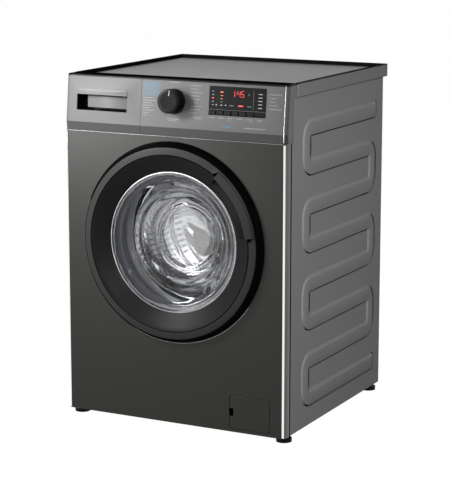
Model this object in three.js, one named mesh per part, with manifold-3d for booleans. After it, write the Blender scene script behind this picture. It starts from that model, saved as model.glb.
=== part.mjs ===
// Front loading washing machine, built as the real one is: a folded sheet cabinet on four
// screw feet, a tub that floats on springs and dampers, a drum turned by a belt, a round
// glazed door, and a slanted control fascia with a detergent drawer.
// Millimetres. x runs left to right, y from the front to the back, z up from the floor.
// Until the last lines y = 0 is the face of the front panel.

import * as THREE from 'three';
import { mergeVertices } from 'three/addons/utils/BufferGeometryUtils.js';
import Module from 'manifold-3d';

const wasm = await Module();
wasm.setup();

// ---------------------------------------------------------------- driving dimensions

// cabinet
const cabinetWidth = 600;        // across the side ribs and the worktop
const cabinetHeight = 850;       // floor to the worktop's rim
const cabinetDepth = 576;        // front panel face to the back edge of the sides
const footHeight = 15;           // floor to the underside of the cabinet
const sheet = 1.5;               // folded sheet
const flangeWidth = 22;          // inward folds of the sheet pieces
const ribHeight = 3.5;           // how far the side ribs stand out
const frontProud = 1.5;          // front panel beyond the plain part of the side sheet
const frontReturn = 34;          // front panel folded back along the side
const cornerRadius = 10;         // front panel's upright corners
const gap = 0.3;                 // between pieces that rest on each other

// worktop
const worktopOverhang = 19;      // behind the cabinet
const skirtHeight = 32;          // the worktop's outer edge
const boardThickness = 15.7;
const boardRecess = 8;           // board below the rim
const sideRim = 11;
const rearRim = 20;
const frontRim = 46;

// side ribs
const ribRuns = 8;
const ribWidth = 40;
const firstRibCentre = 85;       // above the floor
const lastRibDrop = 108.4;       // last run's centre below the worktop's rim
const ribPitch = (cabinetHeight - firstRibCentre - lastRibDrop) / (ribRuns - 1);
const ribFront = 92;
const ribRear = cabinetDepth - 50;
const ribCorner = 42;

// fascia
const fasciaHeight = 133.5;
const fasciaTopMargin = 2;       // fascia's top edge below the worktop's rim
const fasciaSlant = 12;          // top edge set back
const bandHeight = 21.5;         // lower band, which leans under
const bandSlant = 3;
const fasciaWall = 3;
const fasciaCorner = 12;
const cheekDepth = 56;           // fascia's sides above the skirt's lower edge
const lowCheekDepth = 37;        // and below it

// detergent drawer
const drawerFrontRight = -0.145 * cabinetWidth;
const drawerFrontThickness = 14;
const pocketLeft = 34.5 - cabinetWidth / 2;
const pocketRight = drawerFrontRight - 38.5;
const pocketBottom = cabinetHeight - 86;
const pocketTop = cabinetHeight - 48;
const pocketDepth = 46;
const pocketWall = 2;
const trayLength = cabinetDepth - 326;
const trayWidth = 0.3 * cabinetWidth;
const trayHeight = 62;
const trayWall = 2;
const trayFloorZ = cabinetHeight - 109;
const housingWall = 2.5;
const spoutLength = 24;

// programme knob
const knobX = 3;
const knobZ = cabinetHeight - 52;
const knobRadius = 30;
const knobLength = 31;
const knobShaftRadius = 4;
const knobShaftLength = 16;

// display and buttons
const displayRight = cabinetWidth / 2 - 57;
const displayLeft = displayRight - 148;
const displayBottom = cabinetHeight - 78;
const displayTop = cabinetHeight - 11;
const buttonCount = 6;
const buttonRowRight = displayRight - 30;
const buttonRowHeight = 12;
const buttonGap = 2.8;
const buttonProud = 1.8;
const buttonTravel = 1.5;
const buttonLength = 12;
const boardDepth = 16;           // control board's box, behind the fascia
const boardLeft = -60;
const boardRight = cabinetWidth / 2 - 16;
const boardBottom = cabinetHeight - 105;

// door
const frontSize = cabinetWidth + cabinetHeight;
const doorRadius = 243.5 / 1450 * frontSize;
const doorDrop = 11;             // door's rim below the fascia
const axisZ = cabinetHeight - fasciaTopMargin - fasciaHeight - doorDrop - doorRadius;
const faceOuterRadius = doorRadius - 12.5;
const faceInnerRadius = doorRadius - 29.5;
const faceOuterY = -20;
const faceInnerY = -24;
const doorWall = 3;
const bezelRadius = doorRadius - 73.5;
const doorBackDepth = 14;        // door's inner frame behind the panel face
const doorBackRadius = doorRadius - 35.5;
const glassThickness = 4;
const bowlDepth = 84;
const bowlRimRadius = doorRadius - 95.5;
const bowlEndRadius = doorRadius - 144.5;
const hingeX = 21.5 - doorRadius;
const hingeY = -13;
const hingePinRadius = 2.5;
const knuckleRadius = 6;
const knuckleHalfHeight = 28;
const earThickness = 12;
const undercutHalfHeight = 93;
const undercutY = -15;
const handleStart = 8.3;         // degrees above horizontal, at the right
const handleEnd = 53.7;
const handleInnerRadius = doorRadius - 36.5;
const handleOuterRadius = doorRadius - 16.5;
const recessInnerRadius = doorRadius - 59.5;
const hookX = doorRadius - 43.5;
const hookReach = 31;
const hookHeight = 16;
const hookThickness = 7;
const hookRoom = 12.5;            // lock slot either side of the hook

// dish in the front panel
const dishRadius = doorRadius - 18.5;
const dishFloorRadius = dishRadius - 9;
const dishDepth = 22;
const mouthRadius = dishRadius - 48;

// tub and drum
const tubRadius = 262 / 1450 * frontSize;
const tubWall = 4;
const tubFrontY = 66;
const tubRearY = cabinetDepth - 138;
const tubJointY = tubRearY - 188;
const tubMouthRadius = mouthRadius - 9;
const collarLength = 9;
const hubRadius = 44;
const hubLength = 27;
const bearingRadius = 34;
const shaftRadius = 15;
const drumRadius = tubRadius - 22;
const drumWall = 2;
const drumFrontY = tubFrontY + 17;
const drumRearY = tubRearY - 20;
const drumMouthRadius = tubMouthRadius - 16;
const spiderThickness = 11;
const spiderArmWidth = 44;
const paddleHeight = 42;
const paddleFoot = 50;
const paddleTop = 24;
const paddleLength = drumRearY - drumFrontY - 85;
const pulleyRadius = 145;
const pulleyWidth = 22;
const pulleyY = tubRearY + 38;
const motorPulleyRadius = 10;
const beltWidth = 14;
const beltThickness = 3.5;
const motorRadius = 55;
const motorLength = 120;
const motorZ = axisZ - tubRadius - motorRadius - 15;
const motorShaftRadius = 6;
const tubTravel = 10;            // up and down from rest
const inletShare = 0.22;         // of the room under the spout that the tub's inlet takes
const sumpX = 62;
const sumpNeck = 26;

// springs and dampers
const springX = tubRadius - 40;
const springY = tubRearY - 88;
const springRadius = 14;
const springWire = 3.5;
const springTurns = 5;
const springTopZ = cabinetHeight - 55;
const damperX = 150;
const damperY = tubRearY - 170;
const damperRodRadius = 7;
const damperTubeRadius = 13;
const damperStroke = 54;         // tube's mouth below the tub's ear

// feet, pump and fittings
const footX = cabinetWidth / 2 - 20;
const frontFootY = 35;
const rearFootY = cabinetDepth - 31;
const footRadius = 19;
const footPad = 9;
const footStudRadius = 5;
const footBossRadius = 13;
const footBossHeight = 28;
const trayPan = 2;
const trayPanWall = 24;
const flapRight = cabinetWidth / 2 - 41.2;
const flapLeft = flapRight - 106.8;
const flapBottom = 23.4;
const flapTop = 104;
const flapThickness = 2.4;
const flapCorner = 6;
const pumpX = flapRight - 53.8;
const pumpZ = 64;
const filterRadius = 30;
const filterLength = 56;
const pumpWall = 5;
const pumpLength = 112;
const hoseRadius = 20;
const hoseWall = 3;
const valveX = 64 - cabinetWidth / 2;
const valveZ = cabinetHeight - 74;
const glandX = cabinetWidth / 2 - 52;
const glandZ = 118;
const valveRadius = 13;
const glandNeck = 9;
const fittingReach = 14;         // how far the valve and the gland stand out of the back

const roundSegments = 36;
const smallSegments = 16;

// ---------------------------------------------------------------- derived places

const sideFace = cabinetWidth / 2 - ribHeight;
const sideInner = sideFace - sheet;
const frontFace = sideFace + frontProud;
const sideTopZ = cabinetHeight - boardRecess - boardThickness - gap;
const skirtBottomZ = cabinetHeight - skirtHeight;
const fasciaTopZ = cabinetHeight - fasciaTopMargin;
const fasciaBottomZ = fasciaTopZ - fasciaHeight;
const bandTopZ = fasciaBottomZ + bandHeight;
const slope = fasciaSlant / (fasciaTopZ - bandTopZ);
const panelTopZ = fasciaBottomZ - gap;
const studTopZ = footHeight + footBossHeight + 6;
const worktopFrontY = fasciaSlant + fasciaWall + gap;
const worktopRearY = cabinetDepth + worktopOverhang;
const faceY = (z) => slope * (z - bandTopZ);
const slantAngle = Math.atan(slope);
const fromAxis = (radius, x) => Math.sqrt(radius * radius - x * x);
const flat = (radius, segments) => radius / Math.cos(Math.PI / segments);

// ---------------------------------------------------------------- shape helpers

function solid(geometry) {
  const plain = geometry.index ? geometry.toNonIndexed() : geometry.clone();
  plain.deleteAttribute('normal');
  plain.deleteAttribute('uv');
  const merged = mergeVertices(plain, 1e-4);
  const vertices = Float32Array.from(merged.attributes.position.array);
  const triangles = [];
  let volume = 0;
  const corner = (i) => new THREE.Vector3().fromArray(vertices, 3 * i);
  for (let i = 0; i < merged.index.count; i += 3) {
    const [a, b, c] = [0, 1, 2].map((k) => merged.index.getX(i + k));
    if (a === b || b === c || c === a) continue;
    volume += corner(a).dot(corner(b).cross(corner(c)));
    triangles.push(a, b, c);
  }
  if (volume < 0) triangles.reverse();
  const mesh = { numProp: 3, vertProperties: vertices, triVerts: Uint32Array.from(triangles) };
  return new wasm.Manifold(new wasm.Mesh(mesh));
}

function box(x0, x1, y0, y1, z0, z1) {
  const geometry = new THREE.BoxGeometry(x1 - x0, y1 - y0, z1 - z0);
  return solid(geometry.translate((x0 + x1) / 2, (y0 + y1) / 2, (z0 + z1) / 2));
}

// a box that leans with the fascia: the same box, set back in proportion to its height
function leaningBox(x0, x1, y0, y1, z0, z1) {
  const geometry = new THREE.BoxGeometry(x1 - x0, y1 - y0, z1 - z0);
  geometry.translate((x0 + x1) / 2, (y0 + y1) / 2, (z0 + z1) / 2);
  return solid(lean(geometry, slope));
}

function lean(geometry, amount) {
  const shear = new THREE.Matrix4();
  shear.set(1, 0, 0, 0, 0, 1, amount, -amount * bandTopZ, 0, 0, 1, 0, 0, 0, 0, 1);
  return geometry.applyMatrix4(shear);
}

function turnedAbout(direction) {
  const matrix = new THREE.Matrix4();
  if (direction === 'z') matrix.makeRotationX(Math.PI / 2);
  if (direction === 'x') matrix.makeRotationZ(-Math.PI / 2);
  return matrix;
}

function rod(direction, radius, from, to, place, segments = smallSegments) {
  const geometry = new THREE.CylinderGeometry(radius, radius, to - from, segments);
  geometry.translate(0, (from + to) / 2, 0);
  return solid(geometry.applyMatrix4(turnedAbout(direction)).translate(...place));
}

// a closed profile of [radius, y] points turned about the machine's front-to-back axis
function turned(profile, segments = roundSegments, x = 0, z = axisZ) {
  const points = profile.map(([radius, y]) => new THREE.Vector2(radius, y));
  const closed = profile[0][0] === 0 ? points : [...points, points[0].clone()];
  return solid(new THREE.LatheGeometry(closed, segments).translate(x, 0, z));
}

function outline(points) {
  return new THREE.Shape(points.map(([a, b]) => new THREE.Vector2(a, b)));
}

function roundedOutline(left, right, bottom, top, radius) {
  const shape = new THREE.Shape();
  shape.moveTo(left + radius, bottom);
  shape.lineTo(right - radius, bottom);
  shape.absarc(right - radius, bottom + radius, radius, -Math.PI / 2, 0);
  shape.lineTo(right, top - radius);
  shape.absarc(right - radius, top - radius, radius, 0, Math.PI / 2);
  shape.lineTo(left + radius, top);
  shape.absarc(left + radius, top - radius, radius, Math.PI / 2, Math.PI);
  shape.lineTo(left, bottom + radius);
  shape.absarc(left + radius, bottom + radius, radius, Math.PI, 1.5 * Math.PI);
  return shape;
}

function extruded(shape, from, to, curveSegments = 4) {
  const geometry = new THREE.ExtrudeGeometry(shape, {
    depth: to - from, bevelEnabled: false, curveSegments,
  });
  return geometry.translate(0, 0, from);
}

// outline drawn in (y, z), pushed along x
function alongX(shape, x0, x1, curveSegments) {
  const basis = new THREE.Matrix4().makeBasis(
    new THREE.Vector3(0, 1, 0), new THREE.Vector3(0, 0, 1), new THREE.Vector3(1, 0, 0));
  return solid(extruded(shape, x0, x1, curveSegments).applyMatrix4(basis));
}

// outline drawn in (x, z), pushed along y
function alongY(shape, y0, y1, curveSegments) {
  const basis = new THREE.Matrix4().makeBasis(
    new THREE.Vector3(1, 0, 0), new THREE.Vector3(0, 0, 1), new THREE.Vector3(0, -1, 0));
  return solid(extruded(shape, -y1, -y0, curveSegments).applyMatrix4(basis));
}

// outline drawn in (x, y), pushed along z
function alongZ(shape, z0, z1, curveSegments) {
  return solid(extruded(shape, z0, z1, curveSegments));
}

// a round section pushed along a path
function piped(path, radius, steps, sides, hollow = 0) {
  const circle = (r) => Array.from({ length: sides }, (_, i) => {
    const angle = 2 * Math.PI * i / sides;
    return new THREE.Vector2(r * Math.cos(angle), r * Math.sin(angle));
  });
  const section = new THREE.Shape(circle(radius));
  if (hollow) section.holes.push(new THREE.Path(circle(hollow)));
  return solid(new THREE.ExtrudeGeometry(section, { steps, bevelEnabled: false, extrudePath: path }));
}

// the same solid under a matrix
function moved(body, matrix) {
  const mesh = body.getMesh();
  const geometry = new THREE.BufferGeometry();
  geometry.setAttribute('position', new THREE.BufferAttribute(mesh.vertProperties, 3));
  geometry.setIndex(Array.from(mesh.triVerts));
  return solid(geometry.applyMatrix4(matrix));
}

const union = (...solids) => solids.reduce((sum, next) => sum.add(next));
const cut = (body, ...tools) => tools.reduce((rest, tool) => rest.subtract(tool), body);

// a wedge of the door's ring between two angles, used to cut and to keep
function ringSector(innerRadius, outerRadius, startAngle, endAngle, y0, y1) {
  const shape = new THREE.Shape();
  const [start, end] = [startAngle, endAngle].map(THREE.MathUtils.degToRad);
  shape.absarc(0, 0, outerRadius, start, end, false);
  shape.absarc(0, 0, innerRadius, end, start, true);
  return solid(extruded(shape, -y1, -y0, 10).applyMatrix4(new THREE.Matrix4().makeBasis(
    new THREE.Vector3(1, 0, 0), new THREE.Vector3(0, 0, 1), new THREE.Vector3(0, -1, 0),
  )).translate(0, 0, axisZ));
}

// ---------------------------------------------------------------- finishes

const paint = (colour, roughness, metalness) => new THREE.MeshStandardMaterial({
  color: colour, roughness, metalness,
});
const greySteel = paint(0x6f706d, 0.42, 0.6);
const fasciaPlastic = paint(0x939391, 0.45, 0.3);
const blackPlastic = paint(0x1e1f20, 0.35, 0);
const darkPlastic = paint(0x454644, 0.5, 0);
const palePlastic = paint(0xb9bab6, 0.6, 0);
const whitePlastic = paint(0xdcdcd8, 0.6, 0);
const rubber = paint(0x6a6b6a, 0.8, 0);
const blackRubber = paint(0x1b1b1b, 0.85, 0);
const stainless = paint(0xc8cacb, 0.25, 1);
const zincSteel = paint(0x9da1a3, 0.4, 0.9);
const castAluminium = paint(0xa8abac, 0.55, 0.8);
const glass = paint(0xdfe8ea, 0.05, 0);
const concrete = paint(0x8c8b86, 0.95, 0);
const boardFinish = paint(0x7a7b78, 0.5, 0.1);

// ---------------------------------------------------------------- cabinet

// outline of the serpentine rib, in (y, z), stepping up from the lowest run
function ribOutline() {
  const half = ribWidth / 2;
  const centre = (i) => firstRibCentre + i * ribPitch;
  const inner = ribCorner - ribWidth + 8;
  const shape = new THREE.Shape();
  shape.moveTo(ribRear - inner, centre(0) + half);
  shape.lineTo(ribRear - inner, centre(0) - half);
  const turn = (i, forward, radius, edge) => {
    const y = forward ? ribFront + edge : ribRear - edge;
    const towards = forward ? 1 : -1;
    const low = centre(i) - half + edge;
    const high = centre(i + 1) + half - edge;
    return [[y + towards * radius, low], [y, low + radius], [y, high - radius],
      [y + towards * radius, high]];
  };
  const corners = (points, reverse) => {
    const ordered = reverse ? [...points].reverse() : points;
    shape.lineTo(...ordered[0]);
    const fore = ordered[1][0];
    shape.quadraticCurveTo(fore, ordered[0][1], ...ordered[1]);
    shape.lineTo(...ordered[2]);
    shape.quadraticCurveTo(fore, ordered[3][1], ...ordered[3]);
  };
  for (let i = 0; i < ribRuns - 1; i += 1) {
    if (i % 2 === 0) corners(turn(i, true, ribCorner, 0));
    else corners(turn(i, false, inner, ribWidth));
  }
  shape.lineTo(ribRear - inner, centre(ribRuns - 1) + half);
  shape.lineTo(ribRear - inner, centre(ribRuns - 1) - half);
  for (let i = ribRuns - 2; i >= 0; i -= 1) {
    if (i % 2 === 0) corners(turn(i, true, inner, ribWidth), true);
    else corners(turn(i, false, ribCorner, 0), true);
  }
  return shape;
}

function cabinetSide(side) {
  const frontY = frontReturn + gap;
  const arm = 12;
  const armInner = springX - springRadius;
  const parts = union(
    box(sideInner, sideFace, frontY, cabinetDepth, footHeight, sideTopZ),
    box(sideFace - flangeWidth, sideFace, frontY, frontY + sheet, studTopZ + 2, sideTopZ - skirtHeight),
    box(sideFace - flangeWidth, sideFace, cabinetDepth - sheet, cabinetDepth, footHeight, sideTopZ),
    box(sideFace - flangeWidth, sideFace, cheekDepth, cabinetDepth, sideTopZ - sheet, sideTopZ),
    box(armInner, sideFace - sheet / 2, springY - arm, springY + arm, springTopZ, springTopZ + 5),
    alongX(ribOutline(), sideFace - sheet / 2, cabinetWidth / 2, 2),
  );
  const fascia = box(sideInner - flangeWidth, cabinetWidth, 0, cheekDepth + gap,
    fasciaBottomZ - gap, cabinetHeight);
  const rightSide = cut(parts, cut(fascia,
    box(0, cabinetWidth, lowCheekDepth + gap, cheekDepth + 1, fasciaBottomZ - 1, skirtBottomZ - gap)));
  return side > 0 ? rightSide : mirrored(rightSide);
}

const mirrored = (body) => moved(body, new THREE.Matrix4().makeScale(-1, 1, 1));

function rearPanel() {
  const back = cabinetDepth - sheet - gap;
  const half = sideInner - gap;
  return cut(
    box(-half, half, back - sheet, back, footHeight + trayPan + gap, sideTopZ - sheet - gap),
    rod('y', flat(valveRadius + gap, smallSegments), back - 10, back + 10, [valveX, 0, valveZ]),
    rod('y', flat(glandNeck + gap, smallSegments), back - 10, back + 10, [glandX, 0, glandZ]),
  );
}

function feetPlaces() {
  return {
    front_left_foot: [-footX, frontFootY],
    front_right_foot: [footX, frontFootY],
    rear_left_foot: [-footX, rearFootY],
    rear_right_foot: [footX, rearFootY],
  };
}

function baseTray() {
  const half = sideInner - gap;
  const [front, back] = [sheet + gap, cabinetDepth - sheet - gap];
  const top = footHeight + trayPan;
  const corner = frontFace - sideInner + cornerRadius;
  let pan = union(
    box(-half, half, front, back, footHeight, top),
    box(-half, half, front, front + trayPan, footHeight, flapBottom - gap),
    box(-half, flapLeft - 5, front, front + trayPan, footHeight, top + trayPanWall),
    box(-half, half, back - sheet - trayPan - gap, back - sheet - gap, footHeight, top + trayPanWall),
  );
  for (const side of [-1, 1]) {
    pan = cut(pan, alongZ(outline([[side * (half + 1), front - 1], [side * (half - corner), front - 1],
      [side * (half + 1), front + corner]]), footHeight - 1, top + trayPanWall + 1));
    const bossX = side * damperX;
    pan = union(pan, rod('z', damperTubeRadius + 3, footHeight, top + 6, [bossX, damperY, 0]));
  }
  for (const [x, y] of Object.values(feetPlaces())) {
    const edge = Math.min(half - Math.abs(x), footBossRadius);
    const reach = x > 0 ? [x - footBossRadius, x + edge] : [x - edge, x + footBossRadius];
    pan = union(pan, box(...reach, y - footBossRadius, y + footBossRadius, footHeight,
      footHeight + footBossHeight));
    pan = cut(pan, rod('z', flat(footStudRadius + gap, smallSegments), 0, 90, [x, y, 0]));
  }
  return pan;
}

function foot([x, y]) {
  const at = [x, y, 0];
  return union(
    rod('z', footRadius, 0, footPad, at, 20),
    rod('z', footStudRadius + 4, 0, footHeight - gap, at, 6),
    rod('z', footStudRadius, 0, studTopZ, at),
  );
}

function frontPanel() {
  const plan = (inset) => {
    const half = frontFace - inset;
    const radius = cornerRadius - inset;
    const shape = new THREE.Shape();
    shape.moveTo(-half, frontReturn);
    shape.lineTo(-half, inset + radius);
    shape.quadraticCurveTo(-half, inset, -half + radius, inset);
    shape.lineTo(half - radius, inset);
    shape.quadraticCurveTo(half, inset, half, inset + radius);
    shape.lineTo(half, frontReturn);
    return shape;
  };
  const [bottom, top] = [footHeight, panelTopZ];
  let panel = cut(alongZ(plan(0), bottom, top, 4), alongZ(plan(sheet), bottom - 1, top - sheet, 4));
  for (const side of [-1, 1]) {
    const ends = [side * (frontFace - sheet / 2), side * (frontFace - flangeWidth)].sort((a, b) => a - b);
    panel = union(panel, box(...ends, frontReturn - sheet, frontReturn, studTopZ + 2, top));
  }
  const dish = turned([
    [dishRadius + 1.5, 0], [dishRadius + 1.5, sheet], [dishRadius, sheet],
    [dishFloorRadius + sheet, dishDepth + sheet], [mouthRadius, dishDepth + sheet],
    [mouthRadius, dishDepth], [dishFloorRadius, dishDepth], [dishRadius - 1.2, 0],
  ]);
  panel = union(cut(panel, rod('y', dishRadius, -1, sheet + 1, [0, 0, axisZ], roundSegments)), dish);
  return cut(panel,
    box(hookX - hookRoom, hookX + hookRoom, dishDepth - 1, dishDepth + sheet + 1,
      axisZ - hookHeight, axisZ + hookHeight),
    alongY(roundedOutline(flapLeft - 0.5, flapRight + 0.5, flapBottom - 0.5, flapTop + 0.5, flapCorner),
      -1, sheet + 1));
}

// ---------------------------------------------------------------- fascia and worktop

// the leaning front of the fascia: plan outline from edge to edge, inset on every side
function fasciaVolume(inset, left, right, back, bottom = fasciaBottomZ, top = fasciaTopZ) {
  const half = frontFace - inset;
  const radius = fasciaCorner - inset;
  const shape = new THREE.Shape();
  shape.moveTo(-half, back);
  shape.lineTo(-half, inset + radius);
  shape.quadraticCurveTo(-half, inset, -half + radius, inset);
  shape.lineTo(half - radius, inset);
  shape.quadraticCurveTo(half, inset, half, inset + radius);
  shape.lineTo(half, back);
  const upper = extruded(shape, Math.max(bandTopZ, bottom), top);
  const body = solid(lean(upper, slope));
  const window = box(left, right, -20, back + 60, bottom - 1, top + 1);
  if (bottom >= bandTopZ) return body.intersect(window);
  const lower = extruded(shape, bottom, bandTopZ);
  return body.add(solid(lean(lower, -bandSlant / bandHeight))).intersect(window);
}

const holeForKnob = () => tilted(rod('y', flat(knobShaftRadius + gap, smallSegments),
  -30, 60, [0, 0, 0]));

// moves a body made around y onto the knob's axis, square to the leaning face
function tilted(body) {
  const matrix = new THREE.Matrix4().makeRotationX(-slantAngle);
  matrix.setPosition(knobX, faceY(knobZ), knobZ);
  return moved(body, matrix);
}

function buttonPlaces() {
  const pitch = (buttonRowRight - displayLeft) / buttonCount;
  return Array.from({ length: buttonCount }, (_, i) => {
    const left = displayLeft + i * pitch + buttonGap / 2;
    return [left, left + pitch - buttonGap];
  });
}
const buttonBottomZ = displayBottom + 1.2;
const buttonTopZ = displayBottom + buttonRowHeight - 1.2;

function buttonHoles() {
  return buttonPlaces().map(([left, right]) => leaningBox(left - gap, right + gap, -5, 60,
    buttonBottomZ - gap, buttonTopZ + gap));
}

const trayLeft = () => (pocketLeft + pocketRight) / 2 - trayWidth / 2;
const trayTopZ = trayFloorZ + trayHeight;

function controlFascia() {
  const back = cheekDepth;
  const outer = fasciaVolume(0, -frontFace, frontFace, back);
  const split = drawerFrontRight;
  const behindDrawer = drawerFrontThickness + gap;
  const hollowRight = fasciaVolume(fasciaWall, split + fasciaWall, frontFace, back + 30,
    fasciaBottomZ + fasciaWall, cabinetHeight);
  const hollowLeft = fasciaVolume(fasciaWall, -frontFace, split, back + 30,
    fasciaBottomZ + fasciaWall, cabinetHeight)
    .intersect(leaningBox(-frontFace, split + fasciaWall + 1, behindDrawer + fasciaWall, back + 60,
      fasciaBottomZ - 20, cabinetHeight + 20));
  const drawerSpace = union(
    leaningBox(-cabinetWidth, split + gap, -40, behindDrawer, bandTopZ - 1, cabinetHeight + 10),
    box(-cabinetWidth, split + gap, -40, behindDrawer, fasciaBottomZ - 1, bandTopZ));
  const trayHole = box(trayLeft() - housingWall, trayLeft() + trayWidth + housingWall, -20, back + 40,
    trayFloorZ - housingWall, trayTopZ + 10);
  const lens = leaningBox(displayLeft - gap, displayRight + gap, -10, back, displayBottom - gap,
    displayTop + gap);
  const belowCheek = box(-cabinetWidth, cabinetWidth, lowCheekDepth, back + 60,
    fasciaBottomZ - 1, skirtBottomZ - gap);
  const behind = box(-cabinetWidth, cabinetWidth, cheekDepth, back + 60, 0, cabinetHeight + 20);
  return cut(outer, hollowRight, hollowLeft, drawerSpace, trayHole, lens, holeForKnob(),
    belowCheek, behind, worktopStripSpace());
}

// room for the worktop's front strip between the fascia's cheeks
function worktopStripSpace() {
  const half = frontFace - fasciaWall;
  return box(-half, half, worktopFrontY - gap, cabinetDepth, sideTopZ, cabinetHeight + 1);
}

function worktopFrame() {
  const half = cabinetWidth / 2;
  const inner = half - sideRim;
  const frontY = worktopFrontY;
  const cheekInner = frontFace - fasciaWall - gap;
  const boardTopZ = cabinetHeight - boardRecess;
  const outer = union(
    box(-half, half, cheekDepth + gap, worktopRearY, skirtBottomZ, cabinetHeight),
    box(-cheekInner, cheekInner, frontY, cheekDepth + 1, sideTopZ + gap, cabinetHeight));
  const skirtInner = sideFace + gap;
  return cut(outer,
    box(-skirtInner, skirtInner, -1, cabinetDepth + gap, skirtBottomZ - 1, sideTopZ + gap),
    box(-inner, inner, frontY + frontRim, worktopRearY - rearRim, sideTopZ - 1, boardTopZ),
    box(-inner, inner, frontY + frontRim, worktopRearY - rearRim, boardTopZ - 1, cabinetHeight + 1));
}

function worktopBoard() {
  const inner = cabinetWidth / 2 - sideRim - gap;
  const frontY = worktopFrontY + frontRim + gap;
  const bottom = sideTopZ + gap;
  return box(-inner, inner, frontY, worktopRearY - rearRim - gap, bottom, bottom + boardThickness - gap);
}

function displayWindow() {
  const lens = leaningBox(displayLeft, displayRight, 0, fasciaWall, displayBottom, displayTop);
  return cut(lens, ...buttonHoles());
}

function controlBoard() {
  const front = fasciaWall + gap;
  const top = sideTopZ - 3;
  const box1 = leaningBox(boardLeft, boardRight, front, front + boardDepth, boardBottom, top);
  return cut(box1, holeForKnob(), ...buttonHoles());
}

function button([left, right]) {
  const length = fasciaWall + gap + buttonLength;
  return leaningBox(left, right, -buttonProud, length, buttonBottomZ, buttonTopZ);
}

function programKnob() {
  const clearance = 0.6;
  const body = union(
    rod('y', knobRadius, -knobLength, -clearance, [0, 0, 0], 32),
    rod('y', knobShaftRadius, -knobLength / 2, knobShaftLength, [0, 0, 0]));
  return tilted(body);
}

// ---------------------------------------------------------------- detergent drawer

function drawerFront() {
  const back = drawerFrontThickness;
  const right = drawerFrontRight - gap;
  const shell = cut(
    fasciaVolume(0, -frontFace, right, back + 40),
    fasciaVolume(fasciaWall, -frontFace, right - fasciaWall, back + 80,
      fasciaBottomZ + fasciaWall, fasciaTopZ - fasciaWall),
    leaningBox(-cabinetWidth, 0, back, back + 90, bandTopZ, cabinetHeight + 20),
    box(-cabinetWidth, 0, back, back + 90, fasciaBottomZ - 1, bandTopZ));
  const w = pocketWall;
  const cup = box(pocketLeft - w, pocketRight + w, fasciaWall + 4, pocketDepth + w, pocketBottom - w,
    pocketTop + w);
  const inside = box(pocketLeft, pocketRight, -20, pocketDepth, pocketBottom, pocketTop);
  return cut(union(shell, cup), inside, worktopStripSpace());
}

function drawerTray() {
  const [left, right] = [trayLeft(), trayLeft() + trayWidth];
  const front = pocketDepth + pocketWall + gap;
  const back = front + trayLength;
  const floor = trayFloorZ + trayWall;
  const middle = (left + right) / 2;
  const cavity = (x0, x1, y0, y1) => box(x0, x1, y0, y1, floor, trayTopZ + 1);
  const w = trayWall;
  return cut(
    box(left, right, front, back, trayFloorZ, trayTopZ),
    cavity(left + w, middle - w / 2, front + w, back - w),
    cavity(middle + w / 2, right - w, front + w, front + trayLength / 2),
    cavity(middle + w / 2, right - w, front + w + trayLength / 2, back - w));
}

function dispenserHousing() {
  const w = housingWall;
  const left = -sideInner + gap;
  const innerLeft = trayLeft() - gap;
  const innerRight = trayLeft() + trayWidth + gap;
  const front = drawerFrontThickness + fasciaWall + fasciaSlant + 3;
  const back = pocketDepth + trayLength + 12;
  const top = sideTopZ - sheet - gap;
  const spoutZ = trayFloorZ - w - gap - 24;
  const [x, y] = dispenserSpout();
  const shell = union(
    box(left, innerRight + w, front, back, trayFloorZ - w - gap, top),
    rod('z', hoseRadius, spoutZ, trayFloorZ - gap, [x, y, 0]));
  return cut(shell,
    box(innerLeft, innerRight, front - 1, back - w, trayFloorZ - gap, top - w),
    rod('z', hoseRadius - hoseWall, spoutZ - 1, trayFloorZ, [x, y, 0]));
}

function dispenserSpout() {
  return [drawerFrontRight - 89, tubJointY - 80, trayFloorZ - housingWall - gap - spoutLength];
}

function dispenserHose() {
  const [x, y, top] = dispenserSpout();
  const [r, thin] = [hoseRadius, hoseRadius - hoseWall];
  const from = tubInletTop() + gap;
  const to = top - gap;
  const folds = 4;
  const profile = [[thin, from], [r, from]];
  for (let i = 0; i < folds; i += 1) {
    profile.push([r + 5, from + (to - from) * (i + 0.5) / folds]);
    profile.push([r, from + (to - from) * (i + 1) / folds]);
  }
  profile.push([thin, to]);
  const geometry = new THREE.LatheGeometry(
    [...profile, profile[0]].map(([a, b]) => new THREE.Vector2(a, b)), smallSegments);
  return solid(geometry.applyMatrix4(new THREE.Matrix4().makeRotationX(Math.PI / 2)).translate(x, y, 0));
}

// ---------------------------------------------------------------- door

function doorOuterRing() {
  const w = doorWall;
  const back = -2 * gap;
  const ring = turned([
    [faceInnerRadius + gap, faceInnerY], [faceOuterRadius, faceOuterY], [doorRadius, back],
    [doorRadius - w, back], [faceOuterRadius - w, faceOuterY + w + 1],
    [faceInnerRadius + gap, faceInnerY + w + 1],
  ]);
  const undercut = box(-doorRadius - 1, hingeX + 22, undercutY, 10,
    axisZ - undercutHalfHeight, axisZ + undercutHalfHeight);
  const handleSpace = ringSector(faceInnerRadius - 10, handleOuterRadius + gap,
    handleStart - 0.1, handleEnd + 0.1, faceInnerY - 10, 0);
  const far = knuckleHalfHeight + earThickness + 1;
  const knuckleRoom = rod('z', knuckleRadius + 0.5, axisZ - far, axisZ + far, [hingeX, hingeY, 0], 20);
  return cut(ring, undercut, handleSpace, knuckleRoom);
}

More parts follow.
